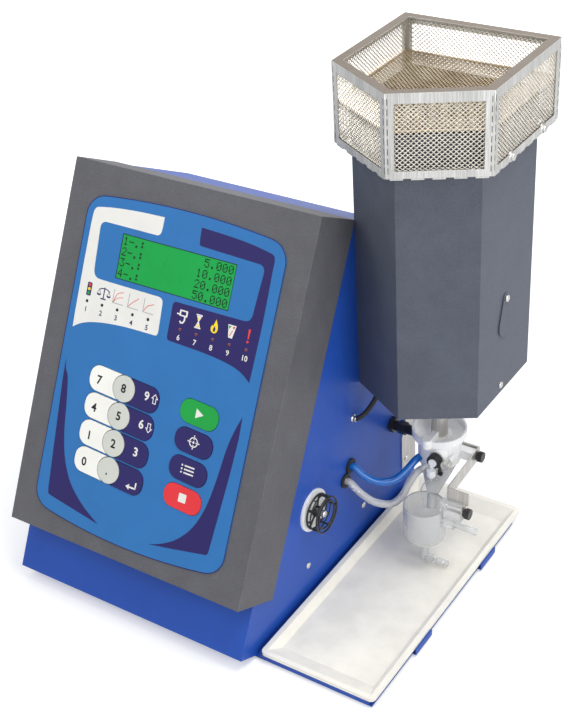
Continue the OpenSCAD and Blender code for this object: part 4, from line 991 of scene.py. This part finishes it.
        for i, corner in enumerate(corners):
            away = (corner - middle).normalized()
            rings = []
            low, high = self.low, self.high
            for z, r in ((low + 0.2, 0.5), (low + 0.8, 0.85), (high - 1.2, 0.85), (high - 0.4, 0.5)):
                rings.append([
                    DATUM.at(corner.x - away.x * 0.55 + r * math.cos(math.tau * j / 12),
                             corner.y - away.y * 0.55 + r * math.sin(math.tau * j / 12), z)
                    for j in range(12)
                ])
            beads.strip(rings)
            for other in (corners[(i + 1) % 5], corners[i - 1]):
                along, out = self.facing(corner, other)
                for n in range(8):
                    # black strips of painted shade, standing in for the dark openings that the tabs pass through
                    slab(slot_shade, corner + along * 1.9, along, out, self.low + 4.0 + n * 8.2, (0.55, 5.4, 0.12))
        for i, start in enumerate(corners):
            end = corners[(i + 1) % 5]
            along, out = self.facing(start, end)
            long = (end - start).length
            count = max(2, round(long / 16.0))
            for n in range(count):
                place = start + along * (long * (n + 0.5) / count) - out * 1.1
                slab(tabs, place, along, out, self.low - 1.5, (long / count * 0.62, 1.9, 0.9))
        beads.build("guard_corner_beads", "cabinet", PAINTS.zinc, smooth=40.0)
        slot_shade.build("guard_tab_slot_shade", "cabinet", PAINTS.optics, smooth=None)
        tabs.build("guard_lower_tabs", "cabinet", PAINTS.flange, smooth=None)

    def build(self) -> None:
        """Make both sheets and the folded seams."""
        self.walls()
        self.floor()
        self.seams()


# ---------------------------------------------------------------- valve


@dataclass
class Wheel:
    """Open cage of the fuel valve's wheel, with thin round bars, and its spindle."""

    y: float = 125.3
    z: float = 97.5
    side: float = 129.5
    radius: float = 18.4
    back: float = 3.2
    spokes: int = 5
    shaft: float = 3.0
    boss: float = 3.4
    hub: float = 5.5
    wire: float = 0.95

    def spot(self, out: float, r: float, turn: float) -> Vector:
        """Place a point by its distance from the cabinet, its radius and its angle."""
        return DATUM.at(self.side + out, self.y + r * math.cos(turn), self.z + r * math.sin(turn))

    def hoop(self, skin: Skin, out: float, radius: float, wire: float) -> None:
        """Bend one wire ring.

        Args:
            skin: Where it goes.
            out: Distance of its middle from the cabinet's side, in millimetres.
            radius: Radius of its middle line.
            wire: Radius of the wire.
        """
        rings: list[list[Vector]] = []
        for i in range(56):
            turn = math.tau * i / 56
            round_wire = [(wire * math.sin(math.tau * j / 10), wire * math.cos(math.tau * j / 10)) for j in range(10)]
            rings.append([self.spot(out + a, radius + b, turn) for a, b in round_wire])
        skin.strip(rings, closed=True)

    def turned(self, profile: Sequence[Flat]) -> list[list[Vector]]:
        """Turn a profile of distances from the cabinet and radii round the spindle."""
        return [[self.spot(out, r, math.tau * j / 28) for j in range(28)] for out, r in profile]

    def rod(self, skin: Skin, start: Vector, end: Vector, r: float) -> None:
        """Add a round bar between two points.

        Args:
            skin: Where it goes.
            start: One end.
            end: The other end.
            r: Its radius, in millimetres.
        """
        way = (end - start).normalized()
        side = way.orthogonal().normalized()
        up = way.cross(side)
        rings = []
        for at, size in ((start, 0.75), (start.lerp(end, 0.06), 1.0), (start.lerp(end, 0.94), 1.0), (end, 0.75)):
            rings.append([
                at + (side * math.cos(math.tau * j / 10) + up * math.sin(math.tau * j / 10)) * (r * size / 1000.0)
                for j in range(10)
            ])
        skin.strip(rings)

    def build(self) -> None:
        """Make the cage and the spindle's end, in the place of the solid wheel."""
        low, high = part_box("valve_wheel")
        front = (high.x * 1000.0 + DATUM.x) - self.side
        cage, steel = Skin(), Skin()
        back, rim, w = self.back, self.radius, self.wire
        for out, radius, wire in (
            (back + 1.4, rim - 1.6, w), (back + 5.2, rim - 1.1, w * 0.7),
            (front - w - 0.1, rim - w, w), (front - w - 0.3, rim - 5.0, w),
        ):
            self.hoop(cage, out, radius, wire)
        for i in range(self.spokes):
            turn = math.tau * i / self.spokes
            half = turn + math.pi / self.spokes
            for at, start, end, wire in (
                (turn, (back + 1.4, 3.0), (back + 1.4, rim - 1.8), 1.0),
                (turn, (back + 1.0, rim - 1.9), (front - 1.2, rim - 1.3), 0.9),
                (turn, (front - 1.3, rim - 5.2), (front - 1.3, rim - 1.2), 0.8),
                (half, (back + 1.2, rim - 1.9), (back + 5.4, rim - 1.2), 0.7),
            ):
                self.rod(cage, self.spot(*start, at), self.spot(*end, at), wire)
        hub, boss = self.hub, self.boss
        cage.strip(self.turned(
            ((back - 0.2, hub - 0.5), (back + 0.2, hub), (back + 3.9, hub), (back + 4.4, hub - 0.5))))
        inner_end = low.x * 1000.0 + DATUM.x - self.side
        steel.strip(self.turned((
            (inner_end, self.shaft), (back, self.shaft), (back, boss), (back + 10.0, boss),
            (back + 10.8, boss - 0.7), (back + 10.8, 1.2), (back + 10.0, 1.0))))
        piece = cage.build("valve_cage", "valve", PAINTS.black, smooth=50.0)
        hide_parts("valve_wheel")
        steel.build("valve_spindle_end", "valve", PAINTS.zinc, smooth=40.0)


# ---------------------------------------------------------------- hoses


@dataclass
class Tubing:
    """The flexible tubes and the lead on the burner's side."""

    air: Sequence[Triple] = (
        (127, 192, 103), (131.5, 192, 103), (135.7, 192.2, 102.2), (142.5, 194.6, 94.5), (154, 201, 87),
        (165.5, 210.5, 86), (172.5, 222.5, 92), (176.3, 232.5, 98.2), (178.7, 238.8, 100.2))
    fuel: Sequence[Triple] = (
        (127, 182, 92), (131.5, 182, 92), (135.9, 182.2, 91), (144.5, 184.4, 81.5), (156, 191, 70),
        (168, 203, 64), (174, 213.5, 69.5), (176.5, 221.5, 80), (180.5, 228, 88.6), (185.1, 231.7, 93.1))
    lead: Sequence[Triple] = (
        (127, 200, 153), (131.5, 200, 153), (135.1, 201, 154.2), (139.5, 205, 158), (143, 210, 164),
        (145.3, 216, 171), (147, 224, 182), (148, 230, 195))
    thread: Sequence[Triple] = (
        (197.5, 226.2, 93.4), (197.5, 226.2, 89.8), (195.8, 224.4, 87.7), (193.2, 221.2, 86), (191.7, 218.4, 82.2),
        (191.9, 216.2, 78.4), (194.3, 213.9, 73.8), (196.6, 212, 69.6), (198.6, 210.4, 65.4))
    hose_r: float = 3.6
    bore_r: float = 2.2
    lead_r: float = 2.4
    thread_r: float = 0.8
    side: float = 129.5
    collar: float = 1.4

    def tube(
        self, name: str, node: str, route: Sequence[Triple], radius: float, bore: float, finish: Finish,
        stiffness: str, sides: int = 24, end: str = "object"
    ) -> bpy.types.Object:
        """Args:
            name: The piece's name.
            node: The node whose place it takes.
            route: The points that it passes, in millimetres.
            radius: Its outer radius.
            bore: Its inner radius, or 0 for a solid lead.
            finish: Its finish.
            stiffness: How stiff it is; not used.
            sides: Number of facets round it.
            end: What is on its far end; not used.

        Returns:
            The new object.
        """
        line = spline(route, 4)
        points = [DATUM.at(*p) for p in line]
        side = Vector((0.0, 1.0, 0.0)) if abs(points[1].y - points[0].y) < 1e-4 else Vector((1.0, 0.0, 0.0))
        outer: list[list[Vector]] = []
        inner: list[list[Vector]] = []
        for i, p in enumerate(points):
            ahead = (points[min(i + 1, len(points) - 1)] - points[max(i - 1, 0)]).normalized()
            side = (side - ahead * side.dot(ahead)).normalized()
            other = ahead.cross(side)
            spokes = [
                side * math.cos(math.tau * j / sides) + other * math.sin(math.tau * j / sides)
                for j in range(sides)
            ]
            outer.append([p + s * radius / 1000.0 for s in spokes])
            inner.append([p + s * bore / 1000.0 for s in spokes])
        skin = Skin()
        if bore > 0:
            skin.strip(outer + inner[::-1], closed=True)
        else:
            skin.strip(outer)
        piece = skin.build(name, "cabinet", finish)
        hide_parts(node)
        length = sum((b - a).length for a, b in zip(points, points[1:]))
        LOG.info("hose %s: %.0f mm long", name, length * 1000.0)
        return piece

    def build(self) -> None:
        """Make the two hoses, the lead and the sample tube."""
        self.tube("air_tube", "air_hose", self.air, self.hose_r, self.bore_r, PAINTS.tube, "medium")
        self.tube("fuel_tube", "fuel_hose", self.fuel, self.hose_r, self.bore_r, PAINTS.milky, "medium")
        self.tube("lead_sleeve", "ignition_lead", self.lead, self.lead_r, 0.0, PAINTS.rubber, "medium", 16)
        self.tube("sample_tube", "capillary", self.thread, self.thread_r, 0.0, PAINTS.clear, "stiff", 12, "bare")
        self.ferrule()

    def ferrule(self) -> None:
        """Make the lead's bright socket on the cabinet, with its turned collar."""
        skin = Skin()
        profile = [(0.2, 2.6), (3.9, 2.6), (3.9, 0.4), (3.6, 0.0), (2.9, -0.4), (2.9, -2.6), (2.6, -3.0), (0.2, -3.0)]
        _, y, z = self.lead[0]
        turns = [math.tau * j / 32 for j in range(32)]
        rings = [
            [DATUM.at(self.side + self.collar - along, y + r * math.cos(t), z + r * math.sin(t)) for t in turns]
            for r, along in profile
        ]
        skin.strip(rings)
        skin.build("lead_socket", "cabinet", PAINTS.zinc)


# ---------------------------------------------------------------- panel

FIGURES: dict[str, tuple[str, ...]] = {
    "0": ("01110", "10001", "10011", "10101", "11001", "10001", "01110"),
    "1": ("00100", "01100", "00100", "00100", "00100", "00100", "01110"),
    "2": ("01110", "10001", "00001", "00010", "00100", "01000", "11111"),
    "3": ("11111", "00010", "00100", "00010", "00001", "10001", "01110"),
    "4": ("00010", "00110", "01010", "10010", "11111", "00010", "00010"),
    "5": ("11111", "10000", "11110", "00001", "00001", "10001", "01110"),
    "-": ("00000", "00000", "00000", "11111", "00000", "00000", "00000"),
    ".": ("00000", "00000", "00000", "00000", "00000", "01100", "01100"),
    ":": ("00000", "01100", "01100", "00000", "01100", "01100", "00000"),
}


class Symbol(Enum):
    """Plain signs of the panel's function keys."""

    GO = "triangle"
    TARGET = "ring with a cross"
    LIST = "three bars"
    STOP = "square"


@dataclass
class Panel:
    """Printing, figures and lamps of the sloping panel."""

    face: float = 0.8
    ink: float = 0.06
    key_face: float = 1.4
    window_face: float = 0.5
    window: tuple[float, float, float, float] = (-1.0, 269.1, 123.8, 40.8)
    lamp_up: float = 221.3
    lamp_pitch: float = 17.5
    number_up: float = 213.7
    key_figure: float = 8.0
    place_pitch: float = 6.35
    row_pitch: float = 9.75
    dot_pitch: Flat = (1.02, 1.08)
    dot: Flat = (0.94, 0.98)
    seal: float = 0.7

    def outline(self, grow: float) -> list[Flat]:
        """Give the overlay's outline: straight sides, bowed top and bottom, round corners.

        Args:
            grow: Distance outside the overlay's edge, in millimetres.

        Returns:
            The outline.
        """
        half, low, high = 107.6 + grow, 24.0 - grow, 316.0 + grow
        top, bottom, r = 7.0, 10.0, 20.0 + grow
        big_top = (half * half / top + top) / 2
        big_low = (half * half / bottom + bottom) / 2
        at, ab = math.asin((half - r) / big_top), math.asin((half - r) / big_low)

        def arc(cx: float, cy: float, radius: float, start: float, end: float, steps: int) -> list[Flat]:
            """Give points along an arc."""
            return [
                (cx + radius * math.cos(start + (end - start) * i / steps),
                 cy + radius * math.sin(start + (end - start) * i / steps))
                for i in range(steps + 1)
            ]

        quarter = math.pi / 2
        return (
            arc(half - r, high - r + top * 0.3, r, 0, quarter - at, 8)
            + arc(0, high + top - big_top, big_top, quarter - at, quarter + at, 24)
            + arc(r - half, high - r + top * 0.3, r, quarter + at, math.pi, 8)
            + arc(r - half, low + r - bottom * 0.3, r, math.pi, 3 * quarter - ab, 8)
            + arc(0, low - bottom + big_low, big_low, 3 * quarter - ab, 3 * quarter + ab, 24)
            + arc(half - r, low + r - bottom * 0.3, r, 3 * quarter + ab, 4 * quarter, 8)
        )

    def lay(self, skin: Skin, loops: Sequence[Sequence[Flat]], face: float | None = None) -> None:
        """Lay one printed shape on the panel.

        Args:
            skin: Where the shape goes.
            loops: Its outline and holes, across and up the panel, in millimetres.
            face: Height of the face that it is on; the overlay's unless given.
        """
        base = self.face if face is None else face
        print_flat(skin, loops, DATUM.panel, base - 0.01, base + self.ink)

    def write(self, skin: Skin, text: str, x: float, up: float, size: float, weight: float, face: float) -> None:
        """Print plain figures.

        Args:
            skin: Where they go.
            text: The figures.
            x: Their middle across the panel, in millimetres.
            up: Their middle up the panel.
            size: Their height.
            weight: How much their strokes are thickened.
            face: Height of the face that they are on.
        """
        for loops in letters(text, size, weight):
            self.lay(skin, [[(x + px, up + py) for px, py in loop] for loop in loops], face)

    def fields(self) -> None:
        """Print the white and navy fields, the blades and the border line."""
        white = Skin()
        header = spline([(-22.0, 312.6), (-50.0, 311.6), (-75.0, 309.6), (-91.0, 307.4)], 4)
        band = spline([(-100.3, 290.0), (-100.4, 250.0), (-100.2, 215.0), (-99.8, 194.4)], 3)
        sweep = spline(
            [(-99.8, 194.4), (-91.9, 199.4), (-80.7, 203.4), (-63.7, 206.6), (-40.6, 208.7), (-12.0, 209.4)], 4)
        loop: list[Flat] = [tuple(p) for p in header]
        loop += rounded([(-91.0, 307.4, 0), (-99.6, 305.6, 7.0), (-100.3, 290.0, 0)])[1:-1]
        loop += [tuple(p) for p in band] + [tuple(p) for p in sweep[1:]]
        loop += rounded([(-12.0, 209.4, 0), (-5.4, 209.4, 5.5), (-6.3, 225.0, 0)])[1:-1]
        loop += rounded([(-6.3, 225.0, 0), (-7.2, 243.6, 5.5), (-40.0, 243.6, 0)])[1:-1]
        loop += rounded([(-70.0, 243.6, 0), (-86.9, 243.8, 8.0), (-88.0, 262.0, 0)])
        loop += rounded([(-88.6, 275.0, 0), (-89.6, 295.3, 7.0), (-70.0, 295.4, 0)])
        loop += rounded([(-45.0, 295.5, 0), (-22.6, 295.6, 5.0), (-22.0, 305.0, 0)])
        self.lay(white, [loop[::-1]])
        white.build("white_field", "cabinet", PAINTS.white, smooth=None)

        navy = Skin()
        top = spline([(18.2, 312.2), (45.0, 311.2), (70.0, 309.3), (88.0, 306.6)], 4)
        edge = spline([(96.2, 292.0), (97.0, 250.0), (96.6, 220.0), (96.0, 194.7)], 3)
        arc = spline([(96.0, 194.7), (86.1, 200.9), (71.8, 205.0), (47.0, 207.6), (11.0, 208.8)], 4)
        loop = [tuple(p) for p in top] + rounded([(88.0, 306.6, 0), (96.4, 305.0, 6.5), (96.2, 292.0, 0)])[1:-1]
        loop += [tuple(p) for p in edge] + [tuple(p) for p in arc[1:]]
        loop += rounded([(11.0, 208.8, 0), (4.4, 208.9, 4.5), (4.2, 220.0, 0)])[1:-1]
        loop += rounded([(4.2, 230.0, 0), (3.7, 243.8, 4.5), (20.0, 243.9, 0)])
        loop += rounded([(60.0, 244.4, 0), (85.6, 244.8, 7.5), (86.4, 262.0, 0)])
        loop += rounded([(87.3, 275.0, 0), (88.6, 294.6, 7.0), (66.0, 295.2, 0)])
        loop += rounded([(40.0, 296.0, 0), (19.4, 296.6, 2.0), (18.6, 304.0, 0)])
        self.lay(navy, [loop])
        for sign, tips in (
            (-1, [(-100.5, 164.5), (-98.6, 155.0), (-94.6, 147.2), (-90.4, 122.0), (-87.6, 100.0), (-82.0, 77.0),
                  (-73.0, 58.5), (-62.0, 46.0), (-47.5, 35.3), (-30.5, 26.1)]),
            (1, [(96.4, 165.0), (91.2, 150.1), (87.2, 132.9), (83.3, 101.9), (78.4, 77.1), (69.6, 56.5),
                 (56.5, 41.4), (41.8, 32.1), (27.4, 26.7)]),
        ):
            inner = [tuple(p) for p in spline(tips, 4)]
            if sign < 0:
                outer = rounded([
                    (-45.7, 28.4, 0), (-89.0, 35.0, 0), (-92.6, 35.6, 3.5),
                    (-93.6, 42.0, 0), (-97.8, 106.5, 0), (-100.2, 145.1, 0),
                ])
            else:
                outer = rounded([
                    (53.3, 31.0, 0), (84.0, 36.6, 0), (90.2, 37.6, 3.5),
                    (90.8, 46.0, 0), (95.4, 108.0, 0), (97.2, 145.2, 0),
                ])
            self.lay(navy, [inner + outer])
        navy.build("navy_fields", "cabinet", PAINTS.navy, smooth=None)

        line = Skin()
        self.lay(line, [self.outline(-0.05), self.outline(-0.75)[::-1]])
        line.build("border_line", "cabinet", PAINTS.navy, smooth=None)

    def display(self) -> None:
        """Set plain figures in dots on the display, in four rows of twenty places."""
        x0, up0, wide, high = self.window
        skin = Skin()
        rows = ("1-.:          5.000", "2-.:         10.000", "3-.:         20.000", "4-.:         50.000")
        (step, drop), (dot_w, dot_h) = self.dot_pitch, self.dot
        for r, row in enumerate(rows):
            for c, sign in enumerate(row):
                pattern = FIGURES.get(sign)
                if not pattern:
                    continue
                left = x0 - wide / 2 + 1.8 + c * self.place_pitch
                top = up0 + high / 2 - 2.2 - r * self.row_pitch
                for j, bits in enumerate(pattern):
                    for i, bit in enumerate(bits):
                        if bit == "1":
                            x, up = left + i * step, top - j * drop
                            dot = [(x, up - dot_h), (x + dot_w, up - dot_h), (x + dot_w, up), (x, up)]
                            self.lay(skin, [dot], face=self.window_face)
        skin.build("display_figures", "cabinet", PAINTS.dots, smooth=None)
        seal = Skin()
        outer, inner = (
            [(x0 + sx * (wide / 2 - inset), up0 + sy * (high / 2 - inset))
             for sx, sy in ((-1, -1), (1, -1), (1, 1), (-1, 1))]
            for inset in (0.0, self.seal)
        )
        self.lay(seal, [outer, inner[::-1]], face=self.window_face)
        seal.build("display_seal", "cabinet", PAINTS.ink, smooth=None)

    def sign(
        self, name: str, loops: Sequence[Sequence[Sequence[Flat]]], body: str, face: float, finish: Finish
    ) -> None:
        """Print a sign made of several shapes.

        Args:
            name: The piece's name.
            loops: Its shapes, each an outline with its holes.
            body: The body that it moves with.
            face: Height of the face that it is on.
            finish: Its ink.
        """
        skin = Skin()
        for shape in loops:
            self.lay(skin, shape, face)
        skin.build(name, body, finish, smooth=None)

    def keys(self) -> None:
        """Print the keys: figures, arrows and plain signs."""
        dark, pale = PAINTS.ink, PAINTS.white
        for text, x, up, ink in (
            ("7", -58.5, 154.7, dark), ("8", -30.3, 154.4, dark), ("9", -4.0, 154.7, pale),
            ("4", -58.5, 128.8, dark), ("5", -30.1, 128.7, dark), ("6", -4.1, 128.7, pale),
            ("1", -58.2, 102.6, dark), ("2", -30.1, 102.7, dark), ("3", -4.3, 102.6, pale),
            ("0", -58.4, 77.4, dark),
        ):
            skin = Skin()
            self.write(skin, text, x, up, self.key_figure, 0.28, self.key_face)
            skin.build(f"figure_{text}_key_{text}_body", f"key_{text}_body", ink, smooth=None)
        self.sign("point_sign", [[disc(-31.4, 74.2, 0.95, 16)]], "key_point_body", self.key_face, dark)
        for name, x, up, way in (("key_9_body", 4.9, 154.6, 1), ("key_6_body", 4.6, 128.0, -1)):
            outer = [(-1.9, -4.4), (1.9, -4.4), (1.9, 0.2), (3.9, 0.2), (0.0, 4.8), (-3.9, 0.2), (-1.9, 0.2)]
            inner = [(-1.1, -3.6), (1.1, -3.6), (1.1, 1.0), (2.2, 1.0), (0.0, 3.6), (-2.2, 1.0), (-1.1, 1.0)]
            if way < 0:
                outer, inner = [(-a, -b) for a, b in outer], [(-a, -b) for a, b in inner]
            loops = [[(x + a, up + b) for a, b in outer], [(x + a, up + b) for a, b in inner][::-1]]
            self.sign(f"arrow_{name}", [loops], name, self.key_face, pale)
        enter = [bar((2.6, 76.0), (2.6, 69.6), 1.5), bar((3.3, 70.3), (-4.6, 70.3), 1.5),
                 [(-8.2, 70.3), (-4.2, 67.6), (-4.2, 73.0)]]
        self.sign("enter_sign", [[shape] for shape in enter], "key_enter_body", self.key_face, pale)
        for symbol, body, up in (
            (Symbol.GO, "key_green_body", 154.9), (Symbol.TARGET, "key_mode_a_body", 129.4),
            (Symbol.LIST, "key_mode_b_body", 103.9), (Symbol.STOP, "key_red_body", 78.3),
        ):
            self.sign(f"sign_{body}", self.symbol(symbol, 53.5, up), body, self.key_face, pale)

    def symbol(self, symbol: Symbol, x: float, up: float) -> list[list[list[Flat]]]:
        """Draw one function key's sign.

        Args:
            symbol: Which one.
            x: Its middle across the panel.
            up: Its middle up the panel.

        Returns:
            Its shapes.
        """
        if symbol is Symbol.GO:
            return [[[(x - 3.4, up - 4.4), (x + 4.6, up), (x - 3.4, up + 4.4)]]]
        if symbol is Symbol.TARGET:
            ring = [disc(x, up, 4.6, 36), disc(x, up, 3.6, 36)[::-1]]
            marks = [bar((x + a * 2.2, up + b * 2.2), (x + a * 6.4, up + b * 6.4), 0.9)
                     for a, b in ((1, 0), (-1, 0), (0, 1), (0, -1))]
            return [[disc(x, up, 1.1, 16)]] + [ring] + [[m] for m in marks]
        if symbol is Symbol.LIST:
            rows = [[bar((x - 4.0, up + d), (x + 6.4, up + d), 1.3)] for d in (-3.2, 0.0, 3.2)]
            return rows + [[disc(x - 6.6, up + d, 0.9, 14)] for d in (-3.2, 0.0, 3.2)]
        return [[rounded([(x - 4.0, up - 4.0, 0.8), (x + 4.0, up - 4.0, 0.8), (x + 4.0, up + 4.0, 0.8),
                          (x - 4.0, up + 4.0, 0.8)], 3)]]

    def pictures(self) -> None:
        """Print the small pictures above the lamps: signals, scales, graphs, tube, glass, flame, gauge, mark."""
        over = self.face + self.ink
        signal_x, glass_x = -88.8, 33.7
        case = rounded(
            [(signal_x + a, up, 1.2) for a, up in ((-2.6, 226.4), (2.6, 226.4), (2.6, 238.6), (-2.6, 238.6))], 4)
        x = -71.6
        scales = [
            bar((x, 227.2), (x, 237.6), 1.1), bar((x - 3.0, 227.0), (x + 3.0, 227.0), 1.1),
            stroke([(x - 6.2, 234.6), (x - 3.0, 236.2), (x, 236.6), (x + 3.0, 236.2), (x + 6.2, 234.6)], 0.9),
            *[stroke([(x + s * 5.6, 234.9), (x + s * 7.6, 230.8)], 0.4) for s in (-1, 1)],
            *[stroke([(x + s * 5.6, 234.9), (x + s * 3.6, 230.8)], 0.4) for s in (-1, 1)],
            *[[(x + s * 5.6 + a, up) for a, up in ((-2.5, 231.0), (-1.5, 229.4), (1.5, 229.4), (2.5, 231.0))]
              for s in (-1, 1)],
        ]
        self.sign("signal_case", [[case]] + [[s] for s in scales], "cabinet", over, PAINTS.navy)
        lamps = {PAINTS.red: 236.4, PAINTS.yellow: 232.6, PAINTS.key_green: 228.8}
        for i, (finish, up) in enumerate(lamps.items()):
            self.sign(f"signal_lamp_{i}", [[disc(signal_x, up, 1.5, 20)]], "cabinet", over + self.ink, finish)
        axes: list[list[list[Flat]]] = []
        curves: list[list[list[Flat]]] = []
        for i, left in enumerate((-60.6, -43.4, -26.2)):
            axes += [[bar((left, 226.4), (left, 239.0), 0.6)], [bar((left - 0.3, 226.7), (left + 12.0, 226.7), 0.6)]]
            top = 238.0 - i * 1.2
            bend = spline([(left + 0.8, 227.4), (left + 4.0, 227.4 + (top - 227.4) * (0.75, 0.40, 0.62)[i]),
                           (left + 10.8, top)], 5)
            curves.append([stroke(bend, 0.6)])
            if i == 0:
                low = spline([(left + 0.8, 227.2), (left + 4.5, 231.6), (left + 10.8, 233.4)], 5)
                curves.append([stroke(low, 0.5)])
        self.sign("graph_axes", axes, "cabinet", over, PAINTS.grey_line)
        self.sign("graph_lines", curves, "cabinet", over, PAINTS.red)
        x = 17.2
        tube = [
            [rounded([(x + a, up, 0.8) for a, up in ((-4.4, 233.0), (4.2, 233.0), (4.2, 238.6), (-4.4, 238.6))], 3),
             rounded([(x + a, up, 0.5) for a, up in ((-2.8, 234.2), (-2.8, 237.4), (2.6, 237.4), (2.6, 234.2))], 3)],
            [stroke([(x + 1.8, 233.2), (x + 1.9, 230.0), (x + 0.6, 227.6), (x - 1.6, 227.2), (x - 2.8, 228.6)], 1.6)],
            [bar((x - 7.0, 234.4), (x - 4.2, 234.4), 1.2)],
        ]
        x = glass_x
        glass = [[bar((x - 3.2, 238.4), (x + 3.2, 238.4), 1.2)], [bar((x - 3.2, 227.2), (x + 3.2, 227.2), 1.2)],
                 [[(x - 2.5, 237.6), (x - 0.5, 232.8), (x + 0.5, 232.8), (x + 2.5, 237.6)]],
                 [[(x - 2.5, 228.0), (x + 2.5, 228.0), (x + 0.5, 232.8), (x - 0.5, 232.8)]]]
        sand = [
            [[(x - 1.7, 228.4), (x + 1.7, 228.4), (x, 231.2)]],
            [[(x - 1.4, 236.2), (x, 233.4), (x + 1.4, 236.2)]],
        ]
        x = 68.3
        cup = [[[(x - 4.2, 238.4), (x - 2.0, 227.0), (x + 2.0, 227.0), (x + 4.2, 238.4)]]]
        self.sign("white_pictures", tube + glass + cup, "cabinet", over, PAINTS.white)
        x = 50.9
        drop = [tuple(p) for p in spline(
            [(x + 0.6, 239.0), (x + 2.6, 235.0), (x + 3.6, 231.2), (x + 2.6, 228.0), (x, 226.8), (x - 2.8, 228.0),
             (x - 3.6, 231.0), (x - 2.4, 233.6), (x - 1.6, 232.6), (x - 0.6, 235.6)], 4)]
        heart = [tuple(p) for p in spline([(x + 0.1, 233.4), (x + 1.3, 230.8), (x + 0.9, 228.6), (x - 0.2, 228.0),
                                           (x - 1.2, 228.9), (x - 0.9, 230.9)], 4)]
        self.sign("yellow_pictures", [[drop, heart]] + sand, "cabinet", over + self.ink, PAINTS.yellow)
        needle = [
            [stroke([(67.4, 228.6), (69.6, 233.8)], 0.7)],
            [rounded([(70.4, 234.6, 0.3), (71.6, 237.4, 0.3), (68.8, 237.4, 0.3)], 3)],
        ]
        x = 86.2
        mark = [
            [[(x - 1.15, 239.2), (x - 0.6, 230.6), (x + 0.6, 230.6), (x + 1.15, 239.2)]],
            [disc(x, 228.2, 1.15, 20)],
        ]
        self.sign("red_pictures", needle + mark, "cabinet", over + self.ink, PAINTS.red)
        self.sign("green_scale", [[rounded([(64.9, 237.4, 0.3), (65.6, 234.4, 0.3), (67.8, 237.4, 0.3)], 3)]],
                  "cabinet", over + self.ink, PAINTS.key_green)

    def lamps(self) -> None:
        """Stand a small lens over every lamp, and number the lamps plainly."""
        for name, first, finish, ink, count in (
            ("lenses_left", -88.9, PAINTS.optics, PAINTS.navy, 1),
            ("lenses_right", 16.2, PAINTS.lens, PAINTS.white, 6),
        ):
            skin = Skin()
            for i in range(5):
                x = first + self.lamp_pitch * i
                rings = []
                for r, out in ((1.5, 0.78), (1.42, 0.98), (1.1, 1.18), (0.55, 1.30), (0.02, 1.33)):
                    rings.append([
                        DATUM.panel(px, up, out) for px, up in disc(x, self.lamp_up, r, 20)
                    ])
                skin.strip(rings)
            skin.build(name, "cabinet", finish, smooth=60.0)
            plates = Skin()
            for i in range(5):
                x = first + self.lamp_pitch * i
                self.write(plates, str(count + i), x, self.number_up, 4.8, 0.12, self.face + self.ink)
            plates.build(f"lamp_numbers_{count}", "cabinet", ink, smooth=None)

    def build(self) -> None:
        """Make everything on the panel."""
        self.fields()
        self.display()
        self.keys()
        self.pictures()
        self.lamps()


# ---------------------------------------------------------------- whole


def main() -> None:
    """Load the frame, dress it and report each piece."""
    logging.basicConfig(level=logging.INFO, format="%(message)s")
    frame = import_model()
    DATUM.read()
    studio = Studio()
    studio.aim()
    studio.lights()
    studio.surroundings()
    bpy.context.scene.view_settings.view_transform = "Standard"
    dress_nodes(frame["nodes"])
    Tubing().build()
    Guard().build()
    Wheel().build()
    Panel().build()


if __name__ == "__main__":
    main()
